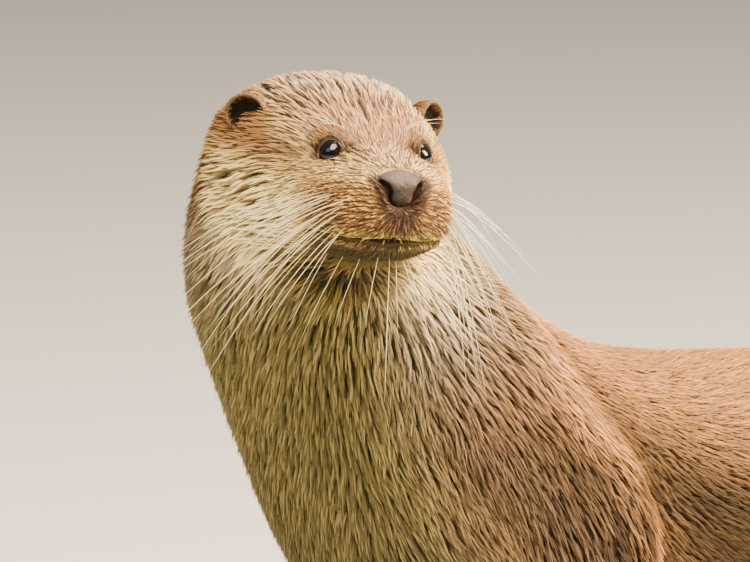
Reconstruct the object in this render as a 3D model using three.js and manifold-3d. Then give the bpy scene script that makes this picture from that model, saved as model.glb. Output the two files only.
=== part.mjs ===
// Eurasian otter, life size, in its coat: it stands on four feet with the neck raised and the head
// turned to its left. Millimetres, +X forward along the trunk, +Y to the animal's left, +Z up.
// The floor is at z = 0 and the origin is at the middle of the model's box on the floor.
import * as THREE from "three";
import { mergeVertices } from "three/addons/utils/BufferGeometryUtils.js";
import Module from "manifold-3d";

const wasm = await Module();
wasm.setup();

// ---- Driving dimensions ----------------------------------------------------------------------

const gap = 0.4; // left between neighbouring solids
const far = 3000; // size of a block that stands for a half space

// The head's own frame: its origin lies between the ears at the height of the eyes.
const head = {
  at: new THREE.Vector3(227.4, 20.8, 387),
  turn: 60, // heading, degrees from straight ahead towards the animal's left
  pitch: -4, // degrees, nose down
  roll: 4.7, // degrees, the left side down
};

const eye = { radius: 6.2, forward: 49.2, apart: 20.6, height: 0.2 };
const ear = { forward: 2, apart: 43, height: 7, thick: 5.5, wide: 10, tall: 9.5, outward: 28 };
const nose = { forward: 83.5, height: -9.6, wide: 10.4, tall: 8.2, deep: 6.6 };
const mouth = { height: -31, open: 1.1, deep: 9, corner: 50 };

const feet = { foreY: 64, hindY: 72, stride: 14 }; // how far each foot is from the middle line
const clawLength = 9;
const clawRadius = 1.9;

// ---- Small tools -----------------------------------------------------------------------------

const degrees = THREE.MathUtils.degToRad;

/** A closed three.js geometry as a solid that can be joined and cut. */
function solid(geometry) {
  const bare = geometry.index ? geometry.toNonIndexed() : geometry.clone();
  bare.deleteAttribute("normal");
  bare.deleteAttribute("uv");
  const merged = mergeVertices(bare, 1e-4);
  return new wasm.Manifold(
    new wasm.Mesh({
      numProp: 3,
      vertProperties: merged.attributes.position.array,
      triVerts: new Uint32Array(merged.index.array),
    }),
  );
}

/** The largest piece of a solid, without the slivers that a cut can leave. */
function whole(made) {
  return made.decompose().sort((a, b) => b.volume() - a.volume())[0];
}

/** A smooth curve through a few [place, value] pairs. */
function profile(pairs) {
  return (at) => {
    const last = pairs.length - 1;
    if (at <= pairs[0][0]) return pairs[0][1];
    if (at >= pairs[last][0]) return pairs[last][1];
    const i = pairs.findIndex((pair) => pair[0] > at) - 1;
    const [x0, y0] = pairs[i];
    const [x1, y1] = pairs[i + 1];
    const slope = (k) => {
      const a = pairs[Math.max(k - 1, 0)];
      const b = pairs[Math.min(k + 1, last)];
      return (b[1] - a[1]) / (b[0] - a[0]);
    };
    const s = (at - x0) / (x1 - x0);
    const run = x1 - x0;
    const square = s * s;
    const cube = square * s;
    return (
      y0 * (2 * cube - 3 * square + 1) +
      y1 * (3 * square - 2 * cube) +
      slope(i) * run * (cube - 2 * square + s) +
      slope(i + 1) * run * (cube - square)
    );
  };
}

/** A tube bent into shape: place(share along, angle, radius) puts each point of a unit cylinder. */
function tube(sides, steps, place) {
  const geometry = new THREE.CylinderGeometry(1, 1, 1, sides, steps);
  const position = geometry.attributes.position;
  for (let i = 0; i < position.count; i++) {
    const [x, y, z] = [position.getX(i), position.getY(i), position.getZ(i)];
    const point = place(y + 0.5, Math.atan2(x, z), Math.hypot(x, z));
    position.setXYZ(i, point.x, point.y, point.z);
  }
  return solid(geometry);
}

/** A point of a rounded section: angle 0 is its left side, a quarter turn is its top. */
function sectionPoint(angle, wide, up, down, square = 2.15) {
  const bend = (value) => Math.sign(value) * Math.abs(value) ** (2 / square);
  const rise = bend(Math.sin(angle));
  return { side: wide * bend(Math.cos(angle)), rise: rise * (rise > 0 ? up : down) };
}

/** A block whose one face passes through a point, filling the side that its normal points to. */
function halfSpace(point, normal) {
  const block = new THREE.BoxGeometry(far, far, far).translate(0, 0, far / 2);
  const turn = new THREE.Quaternion().setFromUnitVectors(
    new THREE.Vector3(0, 0, 1),
    normal.clone().normalize(),
  );
  return solid(block.applyQuaternion(turn).translate(point.x, point.y, point.z));
}

/** Parts a solid at a plane: [the piece on the normal's side, the piece behind], a gap apart. */
function partAt(made, point, normal) {
  const step = normal.clone().normalize().multiplyScalar(gap / 2);
  const ahead = halfSpace(point.clone().add(step), normal);
  const behind = halfSpace(point.clone().sub(step), normal.clone().negate());
  return [whole(made.intersect(ahead)), whole(made.intersect(behind))];
}

const aboveFloor = halfSpace(new THREE.Vector3(0, 0, 0), new THREE.Vector3(0, 0, 1));

// ---- A long part: sections along a smooth middle line ------------------------------------------

/** Sections strung on a curve. The curve's parameter counts stations, so station 3 is at 3. */
class Line {
  constructor(stations) {
    const smooth = (points) => new THREE.CatmullRomCurve3(points, false, "catmullrom", 0.5);
    this.last = stations.length - 1;
    this.middle = smooth(stations.map((s) => new THREE.Vector3(...s.at)));
    this.sizes = smooth(stations.map((s) => new THREE.Vector3(s.wide, s.up, s.down)));
    this.turns = smooth(stations.map((s) => new THREE.Vector3(s.turn ?? 0, s.square ?? 2.15, 0)));
  }

  /** The section's middle, its axes and its sizes at a place along the line. */
  section(place) {
    const t = place / this.last;
    const ahead = this.middle.getTangent(t);
    const { x: turn, y: square } = this.turns.getPoint(t);
    const left = new THREE.Vector3(-Math.sin(degrees(turn)), Math.cos(degrees(turn)), 0);
    const up = ahead.clone().cross(left).normalize();
    const side = up.clone().cross(ahead);
    const { x: wide, y: above, z: below } = this.sizes.getPoint(t);
    return { middle: this.middle.getPoint(t), ahead, up, side, wide, above, below, square };
  }

  /** A point of the surface, or inside it where radius is under 1; grow moves the surface out. */
  point(place, angle, radius = 1, grow = 0) {
    const s = this.section(place);
    const at = sectionPoint(angle, s.wide + grow, s.above + grow, s.below + grow, s.square);
    return s.middle
      .clone()
      .addScaledVector(s.side, at.side * radius)
      .addScaledVector(s.up, at.rise * radius);
  }

  /** The solid between two places along the line. */
  solid(from, to, sides, steps, grow = 0) {
    return tube(sides, steps, (share, angle, radius) =>
      this.point(from + (to - from) * share, angle, radius, grow),
    );
  }
}

// ---- Head --------------------------------------------------------------------------------------

const headFrame = new THREE.Matrix4().compose(
  head.at,
  new THREE.Quaternion().setFromEuler(
    new THREE.Euler(degrees(-head.roll), degrees(-head.pitch), degrees(head.turn), "ZYX"),
  ),
  new THREE.Vector3(1, 1, 1),
);

/** A point given as forward, left and up in the head's frame, in the animal's frame. */
function onHead(forward, left, up) {
  return new THREE.Vector3(forward, left, up).applyMatrix4(headFrame);
}

// The head's outline along its length: half width, top and underside, and the level where it is
// widest. Places are millimetres forward of the ears.
const headWide = profile([
  [-48, 36], [-34, 47], [-18, 51], [0, 48.5], [18, 44.5], [34, 39.5], [48, 36], [60, 31.5],
  [72, 26.5], [80, 21.5], [85, 14], [88, 4],
]);
const headTop = profile([
  [-48, 4], [-34, 16], [-18, 22], [0, 23], [18, 20.5], [34, 15.5], [48, 9], [60, 3.5], [72, 0.5],
  [80, -2], [85, -5], [88, -13],
]);
const headUnder = profile([
  [-48, -54], [-20, -68], [0, -66], [20, -59.5], [40, -50.5], [56, -45], [68, -42], [77, -37],
  [83, -31], [86, -26], [88, -20],
]);
const headMiddle = profile([
  [-48, -20], [-20, -20], [0, -20], [34, -21], [60, -20], [80, -19], [88, -16],
]);

// Swellings and hollows of the head: place, spread and height, mirrored to both sides.
const headForms = [
  { at: [70, 17, -24], spread: 9, height: 3.6 }, // whisker pad
  { at: [80, 8, -23], spread: 6, height: 1.6 }, // upper lip beside the nose
  { at: [52, 25, 1], spread: 6.5, height: -2.4 }, // eye socket
  { at: [43, 21, 12], spread: 7, height: 1.3 }, // brow
  { at: [66, 18, -6], spread: 8, height: -1.2 }, // hollow between nose bridge and cheek
  { at: [26, 40, -28], spread: 17, height: 2.4 }, // jaw muscle
  { at: [9, 39, 5], spread: 8, height: -1.6 }, // in front of the ear
];

/** How far a point of the head, in its own frame, is moved out by the swellings. */
function headSwelling(local) {
  let total = 0;
  for (const form of headForms) {
    const [x, y, z] = form.at;
    const distance = Math.hypot(local.x - x, Math.abs(local.y) - y, local.z - z);
    total += form.height * Math.exp(-((distance / form.spread) ** 2) / 2);
  }
  return total;
}

function makeHead(grow = 0) {
  const [back, front] = [-48, 88];
  return tube(24, 19, (share, angle, radius) => {
    const forward = back + (front - back) * (1 - (1 - share) ** 1.35);
    const middle = headMiddle(forward);
    const at = sectionPoint(
      angle,
      headWide(forward) + grow,
      headTop(forward) - middle + grow,
      middle - headUnder(forward) + grow,
      2.2,
    );
    const local = new THREE.Vector3(forward, at.side, middle + at.rise);
    const outward = new THREE.Vector3(0, at.side, at.rise).normalize();
    if (radius > 0.5) local.addScaledVector(outward, headSwelling(local));
    else local.set(forward, 0, middle);
    return local.applyMatrix4(headFrame);
  });
}

/** A ball squashed to three radii, turned about the head's upright axis, in the head's frame. */
function headBall(at, radii, turn = 0, sides = 16, rows = 10) {
  const ball = new THREE.SphereGeometry(1, sides, rows).rotateX(Math.PI / 2);
  ball.scale(...radii).rotateZ(degrees(turn)).translate(...at);
  return solid(ball.applyMatrix4(headFrame));
}

function makeEye(side, grow = 0) {
  const reach = eye.radius + grow;
  const at = [eye.forward, side * eye.apart, eye.height];
  return headBall(at, [reach, reach, reach], 0, 10, 7);
}

function makeEar(side) {
  const turn = side * ear.outward;
  const at = [ear.forward, side * ear.apart, ear.height];
  const shell = headBall(at, [ear.thick, ear.wide, ear.tall], turn, 10, 7);
  const bowlAt = [ear.forward + 5, side * (ear.apart + 1.6), ear.height - 0.4];
  const bowl = headBall(bowlAt, [ear.thick + 0.6, ear.wide - 3, ear.tall - 2.6], turn, 8, 5);
  return shell.subtract(bowl);
}

/** The bare nose pad, broad above and narrow below, with its two nostrils. */
function makeNose(grow = 0) {
  const ball = new THREE.SphereGeometry(1, 12, 8).rotateX(Math.PI / 2);
  const position = ball.attributes.position;
  for (let i = 0; i < position.count; i++) {
    const [x, y, z] = [position.getX(i), position.getY(i), position.getZ(i)];
    const taper = 0.8 + 0.22 * z;
    const flat = Math.sign(x) * Math.abs(x) ** 0.75;
    position.setXYZ(
      i,
      nose.forward + flat * (nose.deep + grow) + z * 1.2,
      y * taper * (nose.wide + grow),
      nose.height + z * (nose.tall + grow),
    );
  }
  const pad = solid(ball.applyMatrix4(headFrame));
  if (grow > 0) return pad;
  return [1, -1].reduce((made, side) => {
    const at = [nose.forward + nose.deep, side * 6.2, nose.height - 0.4];
    return made.subtract(headBall(at, [2.6, 2.4, 1.9], side * 35, 6, 4));
  }, pad);
}

/** The slit of the mouth, a thin flat blade that follows the lips. */
function makeMouthSlit() {
  const outline = new THREE.Shape();
  outline.moveTo(mouth.corner, -40);
  outline.lineTo(100, -40);
  outline.lineTo(100, 40);
  outline.lineTo(mouth.corner, 40);
  outline.quadraticCurveTo(84 - mouth.deep, 22, 84 - mouth.deep, 0);
  outline.quadraticCurveTo(84 - mouth.deep, -22, mouth.corner, -40);
  const blade = new THREE.ExtrudeGeometry(outline, {
    depth: mouth.open,
    bevelEnabled: false,
    curveSegments: 6,
  });
  return solid(blade.translate(0, 0, mouth.height).applyMatrix4(headFrame));
}

// ---- Neck, trunk and tail: one line from the tail's tip to the skull ---------------------------

const body = new Line([
  { at: [-652, 146, 4.2], wide: 4.5, up: 4.5, down: 4.5, turn: -38 }, // 0 tail's tip
  { at: [-592, 103, 10.5], wide: 13, up: 11.5, down: 11.5, turn: -32 },
  { at: [-512, 60, 27], wide: 20, up: 17.5, down: 17.5, turn: -24 },
  { at: [-424, 27, 62], wide: 26.5, up: 24, down: 24, turn: -14 },
  { at: [-336, 7, 114], wide: 35, up: 32, down: 32, turn: -5 },
  { at: [-264, 0, 153], wide: 50, up: 46, down: 45 }, // 5 tail's root
  { at: [-196, 0, 176], wide: 66, up: 63, down: 66 }, // 6 hips
  { at: [-110, 0, 186], wide: 71, up: 70, down: 81 }, // 7 loin
  { at: [-30, 0, 190], wide: 70, up: 73, down: 90 }, // 8 belly
  { at: [42, 0, 200], wide: 69, up: 75, down: 98 }, // 9 ribs
  { at: [102, 0, 228], wide: 74, up: 67, down: 108 }, // 10 shoulders
  { at: [146, -2, 262], wide: 73, up: 59, down: 92, turn: 4 }, // 11 foot of the neck
  { at: [180, -6, 298], wide: 66, up: 49, down: 73, turn: 10 }, // 12 middle of the neck
  { at: [208, -7, 330], wide: 59, up: 42, down: 62, turn: 18 }, // 13 top of the neck
  { at: [224, 2, 355], wide: 51, up: 37, down: 50, turn: 26 }, // 14 under the skull
  { at: [229, 10, 373], wide: 40, up: 31, down: 38, turn: 32 }, // 15 inside the head
  { at: [231, 15, 386], wide: 30, up: 23, down: 28, turn: 34 },
]);

const station = { tip: 0, tailFront: 1.6, tailBack: 3.2, root: 4.9, neck: 10.8, skull: 16 };

// ---- Legs --------------------------------------------------------------------------------------

/** A leg's line from inside the trunk down to the foot, for one side and one foot's place. */
function legLine(side, foot, stations) {
  return new Line(
    stations.map((s) => ({
      ...s,
      at: [foot.x * s.follow + s.at[0], side * s.at[1], s.at[2]],
    })),
  );
}

// follow says how far a section moves with the foot's stride.
const foreLeg = [
  { at: [122, 34, 262], wide: 30, up: 26, down: 30, follow: 0 }, // 0 shoulder blade's top
  { at: [114, 49, 218], wide: 34, up: 42, down: 46, follow: 0 }, // 1 shoulder blade
  { at: [108, 52, 176], wide: 32, up: 46, down: 44, follow: 0 }, // 2 shoulder
  { at: [103, 56, 134], wide: 27, up: 36, down: 36, follow: 0.2 }, // 3 elbow
  { at: [112, 61, 90], wide: 23.5, up: 26, down: 26, follow: 0.6 }, // 4 forearm
  { at: [126, 63, 46], wide: 20.5, up: 20, down: 19, follow: 0.95 }, // 5 wrist
  { at: [137, 64, 16], wide: 22, up: 20, down: 17, follow: 1 }, // 6 foot
  { at: [139, 64, -6], wide: 22, up: 19, down: 17, follow: 1 },
];
const hindLeg = [
  { at: [-180, 32, 208], wide: 22, up: 40, down: 38, follow: 0 }, // 0 hip
  { at: [-172, 48, 160], wide: 32, up: 54, down: 46, follow: 0 }, // 1 thigh
  { at: [-160, 62, 114], wide: 27, up: 41, down: 38, follow: 0.3 }, // 2 knee
  { at: [-188, 69, 76], wide: 21, up: 25, down: 26, follow: 0.7 }, // 3 shank
  { at: [-206, 71, 42], wide: 17.5, up: 19, down: 19, follow: 0.95 }, // 4 heel
  { at: [-200, 72, 14], wide: 18, up: 20, down: 18, follow: 1 }, // 5 foot
  { at: [-196, 72, -6], wide: 17, up: 18, down: 18, follow: 1 },
];

// A foot's build: its place, its palm's radii, and its five toes from inner to outer, each as
// [angle off the foot's own line, reach from the palm].
const forePaw = {
  x: 134,
  palm: [30, 25, 17],
  palmAt: 14,
  splay: 5,
  toes: [[-34, 34], [-16, 42], [0, 45], [16, 43], [33, 36]],
  toeRadius: 7,
};
const hindPaw = {
  x: -182,
  palm: [42, 26, 17],
  palmAt: 16,
  splay: 8,
  toes: [[-30, 46], [-14, 57], [1, 61], [16, 59], [31, 50]],
  toeRadius: 7.6,
};

/** The frame of one toe: x along the toe from its root, z up, in the foot's frame. */
function toeFrame(paw, index, side) {
  const [angle, reach] = paw.toes[index];
  const root = 16;
  const turn = degrees(side * angle);
  const frame = new THREE.Matrix4().makeRotationZ(turn);
  frame.setPosition(paw.palmAt + Math.cos(turn) * root, Math.sin(turn) * root, 0);
  return { frame, length: reach - root };
}

/** Where a foot stands: its own frame in the animal's frame. */
function pawFrame(paw, side, foot) {
  const frame = new THREE.Matrix4().makeRotationZ(degrees(side * paw.splay));
  return frame.setPosition(paw.x + foot.x, side * paw.sideways, 0);
}

/** One claw, a bent cone at the tip of a toe; grow widens it into the socket that it sits in. */
function makeClaw(paw, index, side, placed, grow = 0) {
  const { frame, length } = toeFrame(paw, index, side);
  const cone = new THREE.ConeGeometry(clawRadius + grow, clawLength + grow * 2, 5, 2);
  cone.translate(0, clawLength / 2, 0).rotateZ(-Math.PI / 2);
  const position = cone.attributes.position;
  for (let i = 0; i < position.count; i++) {
    const along = position.getX(i);
    position.setZ(i, position.getZ(i) - 0.035 * along * along);
  }
  cone.translate(length + paw.toeRadius - 3.2, 0, 6.6);
  return solid(cone.applyMatrix4(frame).applyMatrix4(placed));
}

function makeToe(paw, index, side) {
  const { frame, length } = toeFrame(paw, index, side);
  const toe = new THREE.CapsuleGeometry(paw.toeRadius, length, 2, 6, 1);
  toe.rotateZ(-Math.PI / 2).translate(length / 2, 0, 0);
  const position = toe.attributes.position;
  for (let i = 0; i < position.count; i++) {
    const along = position.getX(i) / length;
    const knuckle = 1 + 0.12 * Math.exp(-(((along - 0.55) / 0.25) ** 2));
    position.setY(i, position.getY(i) * (0.92 + 0.1 * along));
    const rise = paw.toeRadius - 1.2 + 3 * Math.max(0, 0.5 - along);
    position.setZ(i, rise + position.getZ(i) * knuckle);
  }
  return solid(toe.applyMatrix4(frame));
}

/** The skin between the toes, a thin fan. */
function makeWeb(paw, side) {
  const fan = new THREE.Shape();
  fan.moveTo(paw.palmAt, 0);
  const reach = (i) => paw.toes[i][1] * 0.98;
  const order = side > 0 ? [0, 1, 2, 3, 4] : [4, 3, 2, 1, 0];
  for (const i of order) {
    const turn = degrees(side * paw.toes[i][0]);
    fan.lineTo(paw.palmAt + Math.cos(turn) * reach(i), Math.sin(turn) * reach(i));
  }
  fan.closePath();
  const web = new THREE.ExtrudeGeometry(fan, { depth: 3.2, bevelEnabled: false });
  return solid(web.translate(0, 0, 2.4));
}

/** A foot: palm, toes, web and the end of the leg, flat where it stands. */
function makePaw(paw, side, legEnd, placed) {
  const palm = new THREE.SphereGeometry(1, 10, 5).rotateX(Math.PI / 2);
  palm.scale(...paw.palm).translate(paw.palmAt - 4, 0, 7);
  let made = solid(palm).add(makeWeb(paw, side));
  for (let i = 0; i < paw.toes.length; i++) made = made.add(makeToe(paw, i, side));
  made = made.transform(placed.elements).add(legEnd);
  for (let i = 0; i < paw.toes.length; i++) {
    made = made.subtract(makeClaw(paw, i, side, placed, gap));
  }
  return whole(made.intersect(aboveFloor));
}

// ---- The whole animal --------------------------------------------------------------------------

const materials = {
  coat: new THREE.MeshStandardMaterial({ color: 0x8d6f4c, roughness: 0.85 }),
  paleCoat: new THREE.MeshStandardMaterial({ color: 0xb89e78, roughness: 0.85 }),
  eye: new THREE.MeshStandardMaterial({ color: 0x1a1009, roughness: 0.08 }),
  nose: new THREE.MeshStandardMaterial({ color: 0x4a3b33, roughness: 0.5 }),
  claw: new THREE.MeshStandardMaterial({ color: 0x6b5a48, roughness: 0.4 }),
};

const otter = new THREE.Group();

function addPart(name, made, material) {
  const { vertProperties, triVerts } = made.getMesh();
  const geometry = new THREE.BufferGeometry();
  geometry.setAttribute("position", new THREE.BufferAttribute(vertProperties, 3));
  geometry.setIndex(new THREE.BufferAttribute(triVerts, 1));
  geometry.computeVertexNormals();
  const mesh = new THREE.Mesh(geometry, material);
  mesh.name = name;
  otter.add(mesh);
}

const bodySides = 20;

function makeNeckLine(grow = 0) {
  return body.solid(station.neck + half - grow / 80, station.skull, bodySides, 11, grow);
}

function addHeadAndNeck() {
  const neckLine = makeNeckLine();
  const cut = onHead(-12, 0, -26);
  const facing = onHead(0.68, 0, 0.73).sub(onHead(0, 0, 0));
  const [front, back] = partAt(makeHead().add(neckLine), cut, facing);
  let skull = front.subtract(makeNose(gap)).subtract(makeMouthSlit());
  for (const side of [1, -1]) skull = skull.subtract(makeEye(side, gap));
  addPart("head", whole(skull), materials.paleCoat);
  addPart("neck", back, materials.paleCoat);
  addPart("nose", makeNose(), materials.nose);
  for (const [name, side] of [["left", 1], ["right", -1]]) {
    addPart(`eye_${name}`, makeEye(side), materials.eye);
    const clear = makeHead(gap).add(makeNeckLine(gap));
    addPart(`ear_${name}`, whole(makeEar(side).subtract(clear)), materials.coat);
  }
}

const half = gap / 160; // half a gap, where stations are about 80 mm apart

/** The trunk; grow widens it into the hollow that the legs fit round. */
function makeTrunk(grow = 0) {
  const reach = grow > 0 ? 0.02 : -half;
  return body.solid(station.root - reach, station.neck + reach, bodySides, 12, grow);
}

function addTrunkAndTail() {
  addPart("trunk", makeTrunk(), materials.coat);
  const tail = (name, from, to, sides, steps) => {
    const made = body.solid(from + half, to - half, sides, steps);
    addPart(name, whole(made.intersect(aboveFloor)), materials.coat);
  };
  tail("tail_root", station.tailBack, station.root, 16, 5);
  tail("tail_middle", station.tailFront, station.tailBack, 16, 5);
  tail("tail_tip", station.tip, station.tailFront, 12, 6);
}

/** Both legs of one pair, each parted at the bend and at the ankle. */
function addLegs(names, form, paw, strides) {
  const trunk = makeTrunk(gap).add(makeNeckLine(gap));
  for (const [label, side] of [["left", 1], ["right", -1]]) {
    const foot = { x: strides[label] };
    const leg = legLine(side, foot, form.stations);
    const limb = leg.solid(0, leg.last, 12, 11).subtract(trunk);
    const bend = leg.section(form.bend);
    const ankle = leg.section(form.ankle);
    const [below, upper] = partAt(limb, bend.middle, bend.ahead);
    const [legEnd, lower] = partAt(below, ankle.middle, ankle.ahead);
    const placed = pawFrame(paw, side, foot);
    addPart(`${names[0]}_${label}`, upper, materials.coat);
    addPart(`${names[1]}_${label}`, lower, materials.coat);
    addPart(`${names[2]}_${label}`, makePaw(paw, side, legEnd, placed), materials.coat);
    for (let i = 0; i < paw.toes.length; i++) {
      const claw = makeClaw(paw, i, side, placed);
      addPart(`${names[2]}_${label}_claw_${i + 1}`, claw, materials.claw);
    }
  }
}

addHeadAndNeck();
addTrunkAndTail();
addLegs(
  ["upper_arm", "forearm", "forepaw"],
  { stations: foreLeg, bend: 3.1, ankle: 5.35 },
  { ...forePaw, sideways: feet.foreY },
  { left: -feet.stride, right: feet.stride },
);
addLegs(
  ["thigh", "shank", "hindpaw"],
  { stations: hindLeg, bend: 2.1, ankle: 4.35 },
  { ...hindPaw, sideways: feet.hindY },
  { left: feet.stride, right: -feet.stride },
);

// The origin goes to the middle of the box, on the floor.
const box = new THREE.Box3().setFromObject(otter, true);
otter.position.set(-(box.min.x + box.max.x) / 2, -(box.min.y + box.max.y) / 2, 0);

export default otter;
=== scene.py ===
"""Eurasian otter, life size: hide, coat, eyes, nose, ears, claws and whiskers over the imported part.

Everything is in the row frame: metres, +X from tail to head along the trunk, +Y to the animal's
left, +Z up, and the floor at z = 0. Sizes inside the classes are millimetres unless they say so.
"""

from __future__ import annotations

import logging
import math
from collections.abc import Callable, Sequence
from dataclasses import dataclass, field
from enum import Enum

import bmesh
import bpy
import numpy as np
from mathutils import Matrix, Vector
from mathutils.bvhtree import BVHTree
from mathutils.kdtree import KDTree


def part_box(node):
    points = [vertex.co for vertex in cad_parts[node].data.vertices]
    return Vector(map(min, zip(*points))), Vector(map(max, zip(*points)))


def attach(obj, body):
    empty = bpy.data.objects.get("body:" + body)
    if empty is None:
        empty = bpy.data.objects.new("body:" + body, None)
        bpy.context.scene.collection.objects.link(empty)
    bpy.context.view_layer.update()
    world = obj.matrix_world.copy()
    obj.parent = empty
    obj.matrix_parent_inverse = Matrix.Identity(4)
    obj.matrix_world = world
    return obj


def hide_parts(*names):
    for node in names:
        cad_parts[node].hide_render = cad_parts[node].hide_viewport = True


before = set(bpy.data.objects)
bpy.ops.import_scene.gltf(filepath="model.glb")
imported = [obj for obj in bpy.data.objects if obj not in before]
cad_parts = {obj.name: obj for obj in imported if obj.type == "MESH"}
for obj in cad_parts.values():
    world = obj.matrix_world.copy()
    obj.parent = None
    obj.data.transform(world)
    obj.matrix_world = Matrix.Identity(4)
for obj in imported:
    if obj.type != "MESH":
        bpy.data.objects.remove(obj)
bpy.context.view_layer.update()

MM = 0.001
UP = np.array([0.0, 0.0, 1.0])
log = logging.getLogger("otter")


# ---- Small tools -------------------------------------------------------------------------------


def linear(code: str) -> np.ndarray:
    """Turns an sRGB hex colour into linear red, green and blue.

    Args:
        code: Six hex digits after a hash sign.

    Returns:
        Three numbers from 0 to 1.
    """
    values = np.array([int(code[i : i + 2], 16) for i in (1, 3, 5)]) / 255.0
    return np.where(values <= 0.04045, values / 12.92, ((values + 0.055) / 1.055) ** 2.4)


def mix(one: np.ndarray, other: str, amount: np.ndarray) -> np.ndarray:
    """Lays one colour over another.

    Args:
        one: The linear colours below, a row for each place or one for all.
        other: The colour on top, as six hex digits after a hash sign.
        amount: How much of it shows at each place, from 0 to 1.

    Returns:
        One linear colour for each place.
    """
    return one + (linear(other) - one) * amount[:, None]


def ramp(value: np.ndarray, low: float, high: float) -> np.ndarray:
    """A smooth step from 0 at low to 1 at high; low may be the larger."""
    t = np.clip((value - low) / (high - low), 0.0, 1.0)
    return t * t * (3.0 - 2.0 * t)


def bell(distance: np.ndarray, width: float) -> np.ndarray:
    """A smooth bump: 1 at no distance, falling away over the width."""
    return np.exp(-0.5 * (distance / width) ** 2)


def unit(vectors: np.ndarray) -> np.ndarray:
    """The vectors at length 1."""
    return vectors / np.maximum(np.linalg.norm(vectors, axis=-1, keepdims=True), 1e-12)


def square_to(vectors: np.ndarray, ways: np.ndarray) -> np.ndarray:
    """The vectors less what lies along the unit ways, at length 1."""
    return unit(vectors - ways * (vectors * ways).sum(axis=1, keepdims=True))


def direction(bearing: float, rise: float) -> np.ndarray:
    """The unit vector at a bearing from +X towards +Y and a rise, both in degrees."""
    turn, lift = math.radians(bearing), math.radians(rise)
    return np.array([math.cos(turn) * math.cos(lift), math.sin(turn) * math.cos(lift), math.sin(lift)])


def facing_axes(look: np.ndarray, side: int) -> np.ndarray:
    """Rows across, up and along the look of a thing on one side of the head."""
    across = unit(np.cross([0, 0, 1], look)) * side
    return np.stack([across, np.cross(look, across) * side, look])


def waves(points: np.ndarray, size: float, seed: int) -> np.ndarray:
    """Smooth noise between about -1 and 1, made of a few crossing waves.

    Args:
        points: Places, in metres.
        size: The usual distance between crests, in millimetres.
        seed: Picks the directions.

    Returns:
        One number for each point.
    """
    rng = np.random.default_rng(seed)
    total = np.zeros(len(points))
    for _ in range(7):
        way = unit(rng.normal(size=3)) * rng.uniform(0.6, 1.5) * 2 * math.pi / (size * MM)
        total += np.sin(points @ way + rng.uniform(0, 2 * math.pi))
    return total / 3.2


def add_node(
    tree: bpy.types.NodeTree,
    kind: str,
    settings: dict[str, object] | None = None,
    inputs: dict[str | int, object] | None = None,
) -> bpy.types.Node:
    """Adds a shader node, sets it up and links what feeds it.

    Args:
        tree: The material's node tree.
        kind: The node's type name.
        settings: Attributes to set on the node.
        inputs: A value or another node's output socket, for each input by name or number.

    Returns:
        The new node.
    """
    node = tree.nodes.new(kind)
    for name, value in (settings or {}).items():
        setattr(node, name, value)
    for name, value in (inputs or {}).items():
        if isinstance(value, bpy.types.NodeSocket):
            tree.links.new(value, node.inputs[name])
        else:
            node.inputs[name].default_value = value
    return node


def mesh_object(
    name: str, surface: Surface, colours: np.ndarray | None = None
) -> bpy.types.Object:
    """Makes a smoothly shaded mesh object.

    Args:
        name: The object's name.
        surface: Its vertices and triangles.
        colours: One linear colour for each vertex, kept in the attribute "tint".

    Returns:
        The object, linked to the scene.
    """
    mesh = bpy.data.meshes.new(name)
    count = len(surface.triangles)
    mesh.vertices.add(len(surface.points))
    mesh.vertices.foreach_set("co", np.ascontiguousarray(surface.points, np.float32).ravel())
    mesh.loops.add(count * 3)
    corners = np.ascontiguousarray(surface.triangles, np.int32).ravel()
    mesh.loops.foreach_set("vertex_index", corners)
    mesh.polygons.add(count)
    mesh.polygons.foreach_set("loop_start", np.arange(0, count * 3, 3, dtype=np.int32))
    mesh.polygons.foreach_set("use_smooth", np.ones(count, bool))
    mesh.update(calc_edges=True)
    if colours is not None:
        layer = mesh.color_attributes.new("tint", "FLOAT_COLOR", "POINT")
        rgba = np.ones((len(surface.points), 4), np.float32)
        rgba[:, :3] = np.clip(colours, 0.0, 1.0)
        layer.data.foreach_set("color", rgba.ravel())
    made = bpy.data.objects.new(name, mesh)
    bpy.context.scene.collection.objects.link(made)
    return made


def ring_faces(rings: int, steps: int, turned: bool = False) -> np.ndarray:
    """The triangles between closed rings of vertices, one ring after the other.

    Args:
        rings: How many rings there are.
        steps: Vertices in each ring.
        turned: Whether the triangles face the other way.

    Returns:
        Three vertex numbers for each triangle.
    """
    here = np.arange(rings - 1)[:, None] * steps + np.arange(steps)
    beside = np.arange(rings - 1)[:, None] * steps + (np.arange(steps) + 1) % steps
    rows = ((here, here + steps, beside), (beside, here + steps, beside + steps))
    faces = np.concatenate([np.stack(row, -1).reshape(-1, 3) for row in rows])
    return faces[:, ::-1] if turned else faces


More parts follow.
